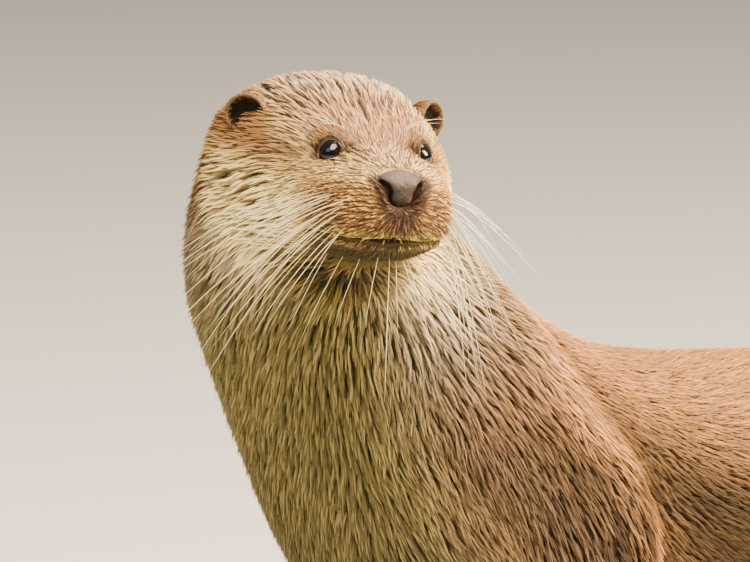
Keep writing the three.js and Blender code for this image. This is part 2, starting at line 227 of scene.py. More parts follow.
def tube_mesh(
    paths: Sequence[np.ndarray], radii: Sequence[np.ndarray], sides: int
) -> Surface:
    """Round closed tubes along paths, all with the same number of points.

    Args:
        paths: For each tube its points, in metres.
        radii: For each tube its radius at each point, in metres.
        sides: Faces around a tube.

    Returns:
        All the tubes in one mesh.
    """
    path = np.stack(paths)
    radius = np.stack(radii)
    ways = unit(np.gradient(path, axis=1))
    up = np.where(np.abs(ways[..., 2:3]) > 0.9, [1.0, 0.0, 0.0], [0.0, 0.0, 1.0])
    side = unit(np.cross(ways, up))
    top = np.cross(side, ways)
    angle = np.arange(sides) * 2 * math.pi / sides
    ring = np.cos(angle)[:, None] * side[..., None, :] + np.sin(angle)[:, None] * top[..., None, :]
    points = path[:, :, None, :] + ring * radius[:, :, None, None]
    tubes, steps = path.shape[:2]
    cap = np.stack([np.zeros(sides - 2), np.arange(1, sides - 1), np.arange(2, sides)], -1)
    last = (steps - 1) * sides
    faces = np.concatenate([ring_faces(steps, sides), cap, last + cap[:, ::-1]]).astype(int)
    all_faces = (np.arange(tubes)[:, None, None] * steps * sides + faces).reshape(-1, 3)
    return Surface(points.reshape(-1, 3), all_faces)


@dataclass
class Surface:
    """A triangle mesh as arrays, with smoothing over its edges."""

    points: np.ndarray
    triangles: np.ndarray
    _starts: np.ndarray | None = field(default=None, repr=False)
    _others: np.ndarray | None = field(default=None, repr=False)
    _counts: np.ndarray | None = field(default=None, repr=False)

    def _prepare(self) -> None:
        """Lists each vertex's neighbours once."""
        if self._starts is not None:
            return
        tri = self.triangles
        pairs = np.concatenate([tri[:, [0, 1]], tri[:, [1, 2]], tri[:, [2, 0]]])
        pairs = np.concatenate([pairs, pairs[:, ::-1]])
        keys = np.unique(pairs[:, 0].astype(np.int64) * len(self.points) + pairs[:, 1])
        first, self._others = np.divmod(keys, len(self.points))
        self._counts = np.bincount(first, minlength=len(self.points))
        self._starts = np.minimum(
            np.concatenate([[0], np.cumsum(self._counts)[:-1]]), max(len(keys) - 1, 0)
        )

    def average(self, values: np.ndarray) -> np.ndarray:
        """The mean of the neighbours' values at each vertex.

        Args:
            values: One row for each vertex.

        Returns:
            Each vertex's mean over its neighbours.
        """
        self._prepare()
        sums = np.add.reduceat(values[self._others], self._starts, axis=0)
        counts = np.maximum(self._counts, 1)
        return sums / (counts[:, None] if values.ndim > 1 else counts)

    def spread(
        self, values: np.ndarray, times: int, weight: np.ndarray | float = 0.6
    ) -> np.ndarray:
        """Smooths values over the surface.

        Args:
            values: One row for each vertex.
            times: How many rounds.
            weight: How far each vertex moves to its neighbours' mean in a round.

        Returns:
            The smoothed values.
        """
        amount = weight[:, None] if isinstance(weight, np.ndarray) and values.ndim > 1 else weight
        for _ in range(times):
            values = values + (self.average(values) - values) * amount
        return values

    def normals(self) -> np.ndarray:
        """Outward unit normals at the vertices.

        Returns:
            One vector for each vertex.
        """
        a, b, c = (self.points[self.triangles[:, i]] for i in range(3))
        face = np.cross(b - a, c - a)
        total = np.zeros_like(self.points)
        for axis in range(3):
            for corner in range(3):
                total[:, axis] += np.bincount(
                    self.triangles[:, corner], face[:, axis], minlength=len(total)
                )
        return unit(total)

    def areas(self) -> np.ndarray:
        """The triangles' areas, in square metres."""
        a, b, c = (self.points[self.triangles[:, i]] for i in range(3))
        return np.linalg.norm(np.cross(b - a, c - a), axis=1) / 2

    def tree(self) -> BVHTree:
        """A tree for nearest points and rays."""
        return BVHTree.FromPolygons(self.points.tolist(), self.triangles.tolist())


def join(surfaces: Sequence[Surface]) -> Surface:
    """Puts several meshes into one.

    Args:
        surfaces: The meshes.

    Returns:
        One mesh, with their vertices and triangles in the same order.
    """
    starts = np.cumsum([0] + [len(each.points) for each in surfaces[:-1]])
    return Surface(
        np.concatenate([each.points for each in surfaces]),
        np.concatenate([each.triangles + start for each, start in zip(surfaces, starts)]),
    )


def surface_of(made: bpy.types.Object) -> Surface:
    """The triangles of an object with its modifiers, at rest, with shared corners merged.

    Args:
        made: The object.

    Returns:
        The mesh in the row frame, in metres.
    """
    graph = bpy.context.evaluated_depsgraph_get()
    seen = made.evaluated_get(graph)
    mesh = seen.to_mesh()
    mesh.calc_loop_triangles()
    points = np.empty(len(mesh.vertices) * 3)
    mesh.vertices.foreach_get("co", points)
    triangles = np.empty(len(mesh.loop_triangles) * 3, np.int32)
    mesh.loop_triangles.foreach_get("vertices", triangles)
    seen.to_mesh_clear()
    points = points.reshape(-1, 3)
    matrix = np.array(made.matrix_world)
    points = points @ matrix[:3, :3].T + matrix[:3, 3]
    _, first, same = np.unique(
        np.round(points / 1e-6).astype(np.int64), axis=0, return_index=True, return_inverse=True
    )
    triangles = same.ravel()[triangles.reshape(-1, 3)]
    kept = (triangles[:, 0] != triangles[:, 1]) & (triangles[:, 1] != triangles[:, 2])
    kept &= triangles[:, 2] != triangles[:, 0]
    return Surface(points[first], triangles[kept])


# ---- The animal's own frames -------------------------------------------------------------------


@dataclass(frozen=True)
class HeadFrame:
    """The head's own axes: forward, left and up from between the ears at eye level."""

    at: tuple[float, float, float] = (410.3, 3.1, 387.0)
    turn: float = 60.0
    pitch: float = -4.0
    roll: float = 4.7

    def matrix(self) -> Matrix:
        """From the head's axes in metres to the row frame.

        Returns:
            The turn and the shift, as one matrix.
        """
        spin = Matrix.Rotation(math.radians(self.turn), 4, "Z")
        spin = spin @ Matrix.Rotation(math.radians(-self.pitch), 4, "Y")
        spin = spin @ Matrix.Rotation(math.radians(-self.roll), 4, "X")
        return Matrix.Translation(Vector(self.at) * MM) @ spin

    def axes(self) -> np.ndarray:
        """Forward, left and up as rows."""
        return np.array(self.matrix().to_3x3()).T

    def local(self, points: np.ndarray) -> np.ndarray:
        """Row frame points, in metres, as forward, left and up, in millimetres."""
        return (points - np.array(self.at) * MM) @ self.axes().T / MM

    def place(self, local: np.ndarray | Sequence[float]) -> np.ndarray:
        """Forward, left and up, in millimetres, as row frame points, in metres."""
        return np.asarray(local, float) @ self.axes() * MM + np.array(self.at) * MM


HEAD = HeadFrame()


@dataclass(frozen=True)
class MiddleLine:
    """A line through the middle of a long part, from its root to its end, in millimetres."""

    stations: tuple[tuple[float, float, float], ...]

    def dense(self, steps: int = 160) -> np.ndarray:
        """Evenly parted points along the line, smoothed at the corners, in metres.

        Args:
            steps: How many points.

        Returns:
            The points, from root to end.
        """
        points = np.array(self.stations) * MM
        along = np.concatenate([[0], np.cumsum(np.linalg.norm(np.diff(points, axis=0), axis=1))])
        at = np.linspace(0, along[-1], steps)
        line = np.stack([np.interp(at, along, points[:, i]) for i in range(3)], -1)
        for _ in range(steps // 12):
            line[1:-1] = (line[:-2] + 2 * line[1:-1] + line[2:]) / 4
        return line

    def nearest(self, points: np.ndarray) -> tuple[np.ndarray, np.ndarray, np.ndarray]:
        """Finds where each point lies along the line.

        Args:
            points: Row frame points, in metres.

        Returns:
            The share along the line, the line's direction there, and the point's offset from it.
        """
        line = self.dense()
        ways = unit(np.gradient(line, axis=0))
        share, way, offset = [], [], []
        for part in np.array_split(points.astype(np.float32), max(1, len(points) // 20000)):
            gaps = part[:, None, :] - line[None].astype(np.float32)
            pick = np.argmin((gaps**2).sum(-1), axis=1)
            share.append(pick / (len(line) - 1))
            way.append(ways[pick])
            offset.append(part - line[pick])
        return np.concatenate(share), np.concatenate(way), np.concatenate(offset)


BODY_LINE = MiddleLine(
    (
        (412.0, -2.0, 372.0), (407.0, -16.0, 356.0), (391.0, -24.0, 330.0), (363.0, -23.0, 298.0),
        (329.0, -19.0, 262.0), (285.0, -18.0, 228.0), (225.0, -18.0, 200.0), (153.0, -18.0, 190.0),
        (73.0, -18.0, 186.0), (-13.0, -18.0, 176.0), (-81.0, -18.0, 153.0), (-153.0, -11.0, 114.0),
        (-241.0, 9.0, 62.0), (-329.0, 42.0, 27.0), (-409.0, 85.0, 10.0), (-469.0, 128.0, 4.0),
    )
)


def leg_line(side: int, fore: bool, stride: float) -> MiddleLine:
    """The middle line of one leg, from inside the trunk to the toes.

    Args:
        side: 1 for the left, -1 for the right.
        fore: Whether it is a foreleg.
        stride: How far forward the foot stands from its usual place, in millimetres.

    Returns:
        The line.
    """
    if fore:
        rows = [(122, 34, 262, 0), (112, 50, 200, 0), (103, 56, 134, 0.2), (112, 61, 90, 0.6)]
        rows += [(126, 63, 46, 0.95), (142, 64, 16, 1), (175, 66, 8, 1), (200, 68, 6, 1)]
    else:
        rows = [(-180, 34, 206, 0), (-170, 50, 156, 0), (-160, 62, 114, 0.3), (-188, 69, 76, 0.7)]
        rows += [(-206, 71, 42, 0.95), (-192, 72, 16, 1), (-155, 76, 8, 1), (-110, 82, 6, 1)]
    ahead, left = 182.9, -17.7
    return MiddleLine(
        tuple((x + stride * f + ahead, side * y + left, z) for x, y, z, f in rows)
    )


# ---- The coat's growth and colours -------------------------------------------------------------


class Part(int, Enum):
    """Parts of the body that the coat tells apart."""

    HEAD = 0
    NECK = 1
    TRUNK = 2
    TAIL = 3
    UPPER_LEG = 4
    LOWER_LEG = 5
    FOOT = 6
    EAR = 7


@dataclass(frozen=True)
class Growth:
    """How the coat grows on one part. Depth, length, width and lock are millimetres."""

    depth: float
    length: float
    width: float
    density: float
    lock: float


GROWTH: dict[Part, Growth] = {
    Part.NECK: Growth(depth=6.0, length=8.5, width=0.66, density=0.9, lock=1.9),
    Part.TRUNK: Growth(depth=4.4, length=13.0, width=1.0, density=0.34, lock=2.8),
    Part.TAIL: Growth(depth=5.0, length=11.5, width=1.15, density=0.5, lock=2.8),
    Part.UPPER_LEG: Growth(depth=5.5, length=12.0, width=1.25, density=0.5, lock=3.0),
    Part.LOWER_LEG: Growth(depth=3.0, length=9.0, width=1.15, density=0.7, lock=2.8),
    Part.FOOT: Growth(depth=1.2, length=4.5, width=0.8, density=0.9, lock=2.0),
    Part.EAR: Growth(depth=0.6, length=4.4, width=0.3, density=2.6, lock=0.8),
}
MUZZLE_GROWTH = Growth(depth=1.0, length=2.8, width=0.46, density=3.6, lock=1.3)
CROWN_GROWTH = Growth(depth=2.7, length=8.0, width=0.62, density=1.45, lock=2.0)
CHEEK_GROWTH = Growth(depth=4.2, length=10.5, width=0.72, density=1.15, lock=2.5)
# How much shorter, narrower and closer the coat grows over the shoulders than over the back.
SHOULDER_FINER = {"length": 0.38, "width": 0.28, "lock": 0.32}

NODE_PARTS: dict[str, Part] = {
    "head": Part.HEAD,
    "neck": Part.NECK,
    "trunk": Part.TRUNK,
    "tail_root": Part.TAIL,
    "tail_middle": Part.TAIL,
    "tail_tip": Part.TAIL,
}
LIMB_PARTS: dict[str, Part] = {
    "upper_arm": Part.UPPER_LEG,
    "thigh": Part.UPPER_LEG,
    "forearm": Part.LOWER_LEG,
    "shank": Part.LOWER_LEG,
    "forepaw": Part.FOOT,
    "hindpaw": Part.FOOT,
}
NODE_PARTS |= {
    f"{name}_{side}": part for side in ("left", "right") for name, part in LIMB_PARTS.items()
}

# Nodes that the skin runs under, though they have pieces of their own.
UNDER_SKIN = ("nose", "eye_left", "eye_right")

LEG_PARTS = (Part.UPPER_LEG, Part.LOWER_LEG, Part.FOOT)

# The forelegs left and right, then the hind legs, each with its stride in the pose.
LEG_LINES = (
    leg_line(1, True, -14.0),
    leg_line(-1, True, 14.0),
    leg_line(1, False, 14.0),
    leg_line(-1, False, -14.0),
)


@dataclass(frozen=True)
class Markings:
    """Coat colours: brown above, paler on cheeks and throat, darker on tail and feet; some hold
    painted light and shade.
    """

    back: str = "#9d6d3c"
    flank: str = "#58401f"
    belly: str = "#7c6748"
    nape: str = "#7a5a34"
    neck_side: str = "#806f57"
    # Painted olive tint of green light bounced from below, on the throat and chest.
    throat: str = "#706439"
    # Partly the throat's own pale fur, partly a painted pool of light, strongest on the left.
    throat_pale_and_lit: str = "#ecd7ae"
    # Painted shade: the chest is coloured darker, with the same olive tint.
    chest: str = "#4f432c"
    muzzle_low: str = "#7c5a38"
    # Painted shadow cast by the chin on the throat and under the jaw.
    chin_shadow: str = "#4d4019"
    # Painted shade low on the shoulder, the neck's side and the top of the foreleg.
    shoulder_low_shade: str = "#252315"
    # Painted light along the shoulder's rear rim.
    shoulder_rim_light: str = "#ac7946"
    # Partly the coat's dark brown, partly painted shade on the flank behind the shoulder.
    flank_fore_and_shade: str = "#302002"
    # Painted shade in the fold behind the shoulder.
    shoulder_fold_shade: str = "#402c0c"
    shoulder: str = "#bb8151"
    tail: str = "#70502f"
    leg: str = "#704e2c"
    foot: str = "#5c432b"
    crown: str = "#a58767"
    forehead: str = "#9c7552"
    cheek: str = "#f3d185"
    temple: str = "#76532e"
    muzzle: str = "#b28346"
    lip: str = "#ab9944"
    # Painted shade: the chin is near black with an olive tint of bounced green light, as in shadow.
    chin: str = "#282001"
    ear: str = "#86663f"
    ear_rim: str = "#896d45"
    ear_inside: str = "#1f1305"
    brow: str = "#533c21"
    nose_rim: str = "#4c3728"
    behind_ear: str = "#553714"
    # Dark bare skin, with painted shade in the mouth and its shadow on the lower lip.
    bare_edge_and_shade: str = "#1d130c"
    fleck: str = "#4a3020"

    def paint(
        self,
        points: np.ndarray,
        part_share: np.ndarray,
        along: np.ndarray,
        upward: np.ndarray,
    ) -> np.ndarray:
        """The coat's colour at places on the body.

        Args:
            points: Row frame points, in metres.
            part_share: How much each point belongs to each Part.
            along: Share along the body's middle line, 0 at the head.
            upward: 1 on the back and nape, -1 on the belly and throat.

        Returns:
            One linear colour for each point.
        """
        local = HEAD.local(points)
        ahead, left, up = local[:, 0], np.abs(local[:, 1]), local[:, 2]
        shape = np.ones((len(points), 1))
        # The chest colour holds painted shade and an olive tint of bounced light.
        trunk = mix(linear(self.belly), self.chest, ramp(along, 0.36, 0.26))
        trunk = mix(trunk, self.flank, ramp(upward, -0.75, -0.1))
        rear, share = shoulder_edge(points)
        # The lower flank at and behind the shoulder is darker: the coat's own brown with painted
        # shade.
        trunk = mix(trunk, self.flank_fore_and_shade, ramp(upward, -0.7, -0.1) * ramp(rear, -105, -35))
        trunk = mix(trunk, self.back, ramp(upward, 0.12, 0.82))
        share = share * ramp(np.abs(upward), 0.9, 0.6)
        # Painted light on the shoulder's rear rim and painted shade in the fold just behind it.
        trunk = mix(trunk, self.shoulder_rim_light, bell(rear - 9, 8) * share)
        trunk = mix(trunk, self.shoulder_fold_shade, bell(rear + 7, 7) * share * 0.8)
        # The throat and chest colours hold a painted olive tint of bounced light, and the chest
        # painted shade.
        neck = mix(linear(self.throat), self.chest, ramp(along, 0.1, 0.24))
        neck = mix(neck, self.neck_side, ramp(upward, -0.85, -0.1))
        neck = mix(neck, self.nape, ramp(upward, 0.0, 0.8))
        neck = mix(neck, self.shoulder, ramp(along, 0.07, 0.17) * ramp(upward, -0.82, -0.3))
        # Painted shadow of the chin on the upper throat.
        under = ramp(up, -62, -42) * ramp(left, 36, 14) * ramp(ahead, -5, 12)
        neck = mix(neck, self.chin_shadow, under)
        # Pale throat patch: the throat's own pale fur with a painted pool of light on the left.
        neck = mix(neck, self.throat_pale_and_lit, self.pale(local))
        # Painted shade, darker towards the bottom, low on the neck, the shoulder and the top of the
        # foreleg.
        low = ramp(points[:, 2] / MM, 318, 238) * ramp(rear, 14, 28) * ramp(upward, -0.8, -0.4)
        leg = mix(shape * linear(self.leg), self.flank, 0.5 * shape[:, 0])
        neck, trunk = (mix(part, self.shoulder_low_shade, 0.85 * low) for part in (neck, trunk))
        leg = mix(leg, self.shoulder_low_shade, 0.6 * low * ramp(rear, 18, 50))
        neck = mix(neck, self.behind_ear, self.by_ear(local))
        tail = mix(linear(self.tail), self.back, ramp(along, 0.75, 0.58) * 0.6)
        colours = np.stack(
            [
                self._paint_head(local),
                neck,
                trunk,
                tail,
                leg,
                mix(linear(self.leg), self.foot, ramp(points[:, 2] / MM, 100, 30)),
                shape * linear(self.foot),
                shape * linear(self.ear),
            ],
            axis=1,
        )
        return (colours * part_share[:, :, None]).sum(axis=1)

    def _paint_head(self, local: np.ndarray) -> np.ndarray:
        """The head's colour: pale cheeks, dark about the eyes, the mouth and the nose, with painted
        shade under the chin.

        Args:
            local: Places in the head's axes, in millimetres.

        Returns:
            One linear colour for each place.
        """
        ahead, left, up = local[:, 0], np.abs(local[:, 1]), local[:, 2]
        head = mix(linear(self.cheek), self.temple, ramp(up, -20, -2) * ramp(left, 18, 36))
        head = mix(head, self.forehead, ramp(up, -12, 6) * ramp(left, 34, 20))
        head = mix(head, self.crown, ramp(ahead, 34, 10) * ramp(up, 8, 18))
        head = mix(head, self.nape, ramp(ahead, 0, -30) * ramp(up, -18, 4) * 0.85)
        for eye in EYES:
            gap = eye.away(local)
            head = mix(head, self.temple, bell(gap, 10.0) * 0.8)
            inner = np.linalg.norm(local - eye.centre() + [-5.0, eye.side * 6.5, -1.0], axis=1)
            head = mix(head, self.brow, np.maximum(bell(inner, 4.2), bell(gap - 6.2, 1.6)) * 0.75)
        head = mix(head, self.behind_ear, self.by_ear(local))
        # Painted shadow under the jaw.
        head = mix(head, self.chin_shadow, ramp(up, -33, -40) * ramp(left, 38, 16))
        head = mix(head, self.muzzle, ramp(ahead, 48, 64) * ramp(up, 0, -12) * ramp(up, -36, -27))
        head = mix(head, self.muzzle_low, ramp(up, -15, -26) * ramp(ahead, 52, 66) * 0.8)
        # Painted shade: the chin is coloured near black, as in shadow under the head.
        head = mix(head, self.chin, ramp(up, -31.5, -34.5) * ramp(ahead, 40, 62))
        rim = ramp(NOSE.share(local), 1.35, 1.05) * ramp(up - NOSE.height, 4, -1)
        rim = np.maximum(rim, bell(left, 6.5) * ramp(up, -12, -17) * ramp(up, -31, -27) * 0.9)
        head = mix(head, self.nose_rim, rim * ramp(ahead, 66, 74))
        lips = bell(up - MOUTH.level - 1.6, 1.9) * ramp(ahead, 48, 58)
        return mix(head, self.lip, lips * 0.95)

    @staticmethod
    def by_ear(local: np.ndarray) -> np.ndarray:
        """How near each place is to the dark fur behind and below the ears, from 0 to 1."""
        gap = np.stack([local[:, 0] + 27, np.abs(local[:, 1]) - 48, local[:, 2] + 20])
        return bell(np.linalg.norm(gap, axis=0), 15.0)

    @staticmethod
    def pale(local: np.ndarray) -> np.ndarray:
        """The pale throat patch, with painted light: 1 at its lit middle on the left, fainter on the
        right.

        Args:
            local: Places in the head's axes, in millimetres.

        Returns:
            How pale each place is, from 0 to 1.
        """
        drop = np.where(local[:, 2] < -53, 0.8, 1.0)
        gap = np.stack([local[:, 0] - 17, np.abs(local[:, 1]) - 44, (local[:, 2] + 53) * drop])
        share = np.where(local[:, 1] > 0, 1.0, 0.3)
        return bell(np.linalg.norm(gap, axis=0), 12.5) * share

    def paint_ear(self, out: np.ndarray, height: np.ndarray) -> np.ndarray:
        """The ear's colour: brown behind, a pale rim, and dark inside.

        Args:
            out: Distance from the ear's middle, 1 at its rim.
            height: Height over the rim, in millimetres.

        Returns:
            One linear colour for each place.
        """
        inside = ramp(height, -0.9, -2.6) * ramp(out, 1.0, 0.8)
        rim = ramp(height, -2.4, -0.6) * ramp(out, 0.8, 0.95)
        return mix(mix(linear(self.ear), self.ear_rim, rim), self.ear_inside, inside)


def shoulder_edge(points: np.ndarray) -> tuple[np.ndarray, np.ndarray]:
    """Where points lie about the shoulder's rear edge.

    Args:
        points: Row frame points, in metres.

    Returns:
        How far each lies ahead of the edge, in millimetres, and the edge's share there: 0 above
        the back and below the elbow.
    """
    x, z = points[:, 0] / MM, points[:, 2] / MM
    edge = np.interp(z, (110, 170, 215, 280, 309, 330), (226, 238, 258, 308, 318, 322))
    return (x - edge) * 0.8, ramp(z, 130, 210) * ramp(z, 330, 300)


@dataclass(frozen=True)
class Mouth:
    """The closed lips and their small parting in front. Millimetres in the head's axes."""

    level: float = -31.0
    corner: float = 49.0
    corner_soft: float = 8.0
    parting_at: float = -3.0
    parting_wide: float = 6.0

    def _front(self, local: np.ndarray) -> np.ndarray:
        """1 ahead of the mouth's corners, falling to 0 behind them."""
        return ramp(local[:, 0], self.corner, self.corner + self.corner_soft)

    def _parted(self, local: np.ndarray) -> np.ndarray:
        """1 where the lips are a little open in front."""
        return bell(local[:, 1] - self.parting_at, self.parting_wide) * ramp(local[:, 0], 66, 76)

    def groove(self, local: np.ndarray) -> np.ndarray:
        """How far the skin is pressed in along the mouth.

        Args:
            local: Places in the head's axes.

        Returns:
            How deep each is pressed in, less how far the lips stand out, in millimetres.
        """
        gap = local[:, 2] - self.level
        slit = 1.7 * bell(gap, 0.75) + 4.2 * self._parted(local) * bell(gap + 0.4, 1.35)
        return self._front(local) * (slit - 0.9 * bell(np.abs(gap) - 2.6, 1.3))

    def shade(self, local: np.ndarray) -> np.ndarray:
        """Painted shade in the mouth's line and inside its parting.

        Args:
            local: Places in the head's axes.

        Returns:
            1 where shade is painted on the mouth's line or its inside.
        """
        gap = local[:, 2] - self.level
        line = 0.9 * bell(gap, 0.7) + 1.2 * self._parted(local) * bell(gap + 0.4, 1.5)
        return self._front(local) * np.clip(line, 0, 1)

    def edge(self, local: np.ndarray) -> np.ndarray:
        """1 on the bare edge of the lower lip, where the mouth's shadow is painted."""
        return self._front(local) * bell(local[:, 2] - self.level + 2.2, 1.5)


MOUTH = Mouth()


@dataclass(frozen=True)
class Eye:
    """One eye with its lids. Millimetres in the head's axes."""

    side: int
    ahead: float = 49.0
    apart: float = 18.4
    height: float = -0.9
    radius: float = 6.5
    outward: float = 38.0
    upward: float = -2.0
    half_width: float = 4.9
    half_height: float = 5.9
    lid_thick: float = 1.75
    lid_reach: float = 11.0

    def axes(self) -> np.ndarray:
        """Rows in the head's axes: outwards across the eye, up across it, and where it looks."""
        look = direction(self.outward, self.upward) * [1, self.side, 1]
        return facing_axes(look, self.side)

    def centre(self) -> np.ndarray:
        """The eyeball's centre in the head's axes."""
        return np.array([self.ahead, self.side * self.apart, self.height])

    def away(self, local: np.ndarray) -> np.ndarray:
        """How far each place in the head's axes is from the eyeball's centre."""
        return np.linalg.norm(local - self.centre(), axis=1)

    def openness(self, local: np.ndarray) -> np.ndarray:
        """How far out from the opening's middle each direction lies: 1 on the lids' edge.

        Args:
            local: Places in the head's axes, in millimetres.

        Returns:
            One number for each place, and 9 for places away from the lids.
        """
        way = unit(local - self.centre()) @ self.axes().T
        spread = np.hypot(
            way[:, 0] * self.radius / self.half_width, way[:, 1] * self.radius / self.half_height
        )
        near = (way[:, 2] > 0.05) & (self.away(local) < self.lid_reach)
        return np.where(near, spread, 9.0)

    def press(self, local: np.ndarray) -> np.ndarray:
        """Draws the hide into lids round the eyeball and under it within the opening.

        Args:
            local: Places in the head's axes, in millimetres.

        Returns:
            The same places, pressed in or drawn out.
        """
        gap = local - self.centre()
        reach = self.away(local)
        spread = self.openness(local)
        lid = self.radius - 1.1 + self.lid_thick * ramp(spread, 0.93, 1.07)
        blend = np.maximum(ramp(spread, 1.12, 2.1), ramp(reach, 9.0, self.lid_reach))
        wanted = lid + (reach - lid) * blend
        scale = np.where(spread < 2.1, wanted / np.maximum(reach, 1e-6), 1.0)
        return self.centre() + gap * scale[:, None]

    def edge(self, turn: np.ndarray, grow: float, reach: float) -> np.ndarray:
        """Points on the lids' edge, in the head's axes.

        Args:
            turn: Angles round the opening, in radians.
            grow: How wide the ring is, as a share of the opening.
            reach: The ring's distance from the eyeball's centre.

        Returns:
            A point for each angle.
        """
        across = np.cos(turn) * self.half_width * grow / self.radius
        rise = np.sin(turn) * self.half_height * grow / self.radius
        look = np.sqrt(np.clip(1 - across**2 - rise**2, 0, 1))
        return self.centre() + np.stack([across, rise, look], -1) @ self.axes() * reach


EYES = (Eye(side=1), Eye(side=-1))


# ---- Finishes ----------------------------------------------------------------------------------


@dataclass(frozen=True)
class Finish:
    """How a surface answers the light."""

    name: str
    roughness: float
    specular: float = 0.5
    ior: float = 1.5
    coat: float = 0.0
    bump: float = 0.0
    grain: float = 1.0
    mottle: float = 0.0
    tint: str | None = None

    def material(self) -> bpy.types.Material:
        """Builds the finish as a material that takes its colour from the mesh's tint.

        Returns:
            The material.
        """
        made = bpy.data.materials.new(self.name)
        made.use_nodes = True
        tree = made.node_tree
        tree.nodes.clear()
        if self.tint is None:
            source = add_node(tree, "ShaderNodeAttribute", {"attribute_name": "tint"})
            colour = source.outputs["Color"]
        else:
            colour = (*linear(self.tint), 1.0)
        place = add_node(tree, "ShaderNodeTexCoord").outputs["Object"]
        grains = add_node(
            tree,
            "ShaderNodeTexNoise",
            inputs={"Vector": place, "Scale": 1.0 / (self.grain * MM), "Detail": 4.0},
        ).outputs["Fac"]
        if self.mottle > 0:
            span = {"From Min": 0.3, "From Max": 0.7}
            span |= {"To Min": 1.0 - self.mottle, "To Max": 1.0 + self.mottle}
            level = add_node(tree, "ShaderNodeMapRange", inputs={"Value": grains, **span})
            scaled = {0: colour, "Scale": level.outputs["Result"]}
            colour = add_node(
                tree, "ShaderNodeVectorMath", {"operation": "SCALE"}, scaled
            ).outputs["Vector"]
        shader = add_node(
            tree,
            "ShaderNodeBsdfPrincipled",
            inputs={
                "Base Color": colour,
                "Roughness": self.roughness,
                "Specular IOR Level": self.specular,
                "IOR": self.ior,
                "Coat Weight": self.coat,
                "Coat Roughness": 0.03,
            },
        )
        if self.bump > 0:
            bump = add_node(
                tree,
                "ShaderNodeBump",
                inputs={"Height": grains, "Strength": 0.6, "Distance": self.bump * MM},
            )
            tree.links.new(bump.outputs["Normal"], shader.inputs["Normal"])
        output = add_node(tree, "ShaderNodeOutputMaterial")
        tree.links.new(shader.outputs["BSDF"], output.inputs["Surface"])
        return made


# Living hair: keratin with a dull, slightly silky gloss from overlapping scales on each hair.
GUARD_HAIR = Finish("guard_hair_combed", roughness=0.55, specular=0.12, ior=1.55)
# Hide under the hair: matt, and grained about half a millimetre across by the hair roots.
HIDE = Finish("furred_hide", roughness=0.8, specular=0.2, bump=0.35, grain=0.9, mottle=0.15)
# Wet nose leather: fine pebbles about half a millimetre across under a thin moist film.
NOSE_LEATHER = Finish(
    "nose_leather_moist", roughness=0.5, specular=0.28, bump=0.28, grain=0.8, mottle=0.22
)
# Wet cornea over a dark brown iris: one clear sharp highlight.
CORNEA = Finish("cornea_wet", roughness=0.13, specular=0.35, ior=1.38, coat=0.45)
# Lid edge: thin moist skin.
LID = Finish("eyelid_skin_moist", roughness=0.38, specular=0.5, mottle=0.08, grain=0.6)
# Claw horn: keratin, worn smooth.
HORN = Finish("claw_horn_worn", roughness=0.35, specular=0.5, ior=1.54, mottle=0.15, grain=1.5)
# Whisker: one stiff, smooth, pale hair.
WHISKER = Finish("whisker_hair_smooth", roughness=0.35, specular=0.5, ior=1.55)
# Floor: pale matt paint.
FLOOR = Finish("floor_matt_paint", roughness=0.9, specular=0.15, tint="#dcd8d0")


# ---- The hide ----------------------------------------------------------------------------------


def refine(surface: Surface, sizes: Callable[[np.ndarray], np.ndarray], rounds: int) -> Surface:
    """Splits edges that are longer than asked for at their middles.

    Args:
        surface: The mesh to refine.
        sizes: Gives the longest edge wanted at each place, in millimetres.
        rounds: How many times to go over the mesh.

    Returns:
        The finer mesh.
    """
    points, triangles = surface.points, surface.triangles.astype(np.int64)
    for _ in range(rounds):
        sides = np.sort(np.stack([triangles, np.roll(triangles, -1, axis=1)], -1), axis=-1)
        keys = sides[..., 0] * len(points) + sides[..., 1]
        keys, where = np.unique(keys.ravel(), return_inverse=True)
        first, second = np.divmod(keys, len(points))
        middle = (points[first] + points[second]) / 2
        span = np.linalg.norm(points[first] - points[second], axis=1)
        split = span > sizes(middle) * MM
        if not split.any():
            break
        number = np.where(split, len(points) + np.cumsum(split) - 1, -1)
        points = np.concatenate([points, middle[split]])
        new = number[where.ravel()].reshape(-1, 3)
        count = (new >= 0).sum(axis=1)
        made = [triangles[count == 0]]
        for turn in range(3):
            corner, between = np.roll(triangles, -turn, axis=1), np.roll(new, -turn, axis=1)
            one = (count == 1) & (between[:, 0] >= 0)
            a, b, c = corner[one].T
            m = between[one, 0]
            made += [np.stack([a, m, c], -1), np.stack([m, b, c], -1)]
            two = (count == 2) & (between[:, 2] < 0)
            a, b, c = corner[two].T
            m, n = between[two, 0], between[two, 1]
            made += [np.stack(rows, -1) for rows in ((a, m, c), (m, n, c), (m, b, n))]
        a, b, c = triangles[count == 3].T
        l, m, n = new[count == 3].T
        made += [np.stack(rows, -1) for rows in ((a, l, n), (l, b, m), (n, m, c), (l, m, n))]
        triangles = np.concatenate(made)
    return Surface(points, triangles)


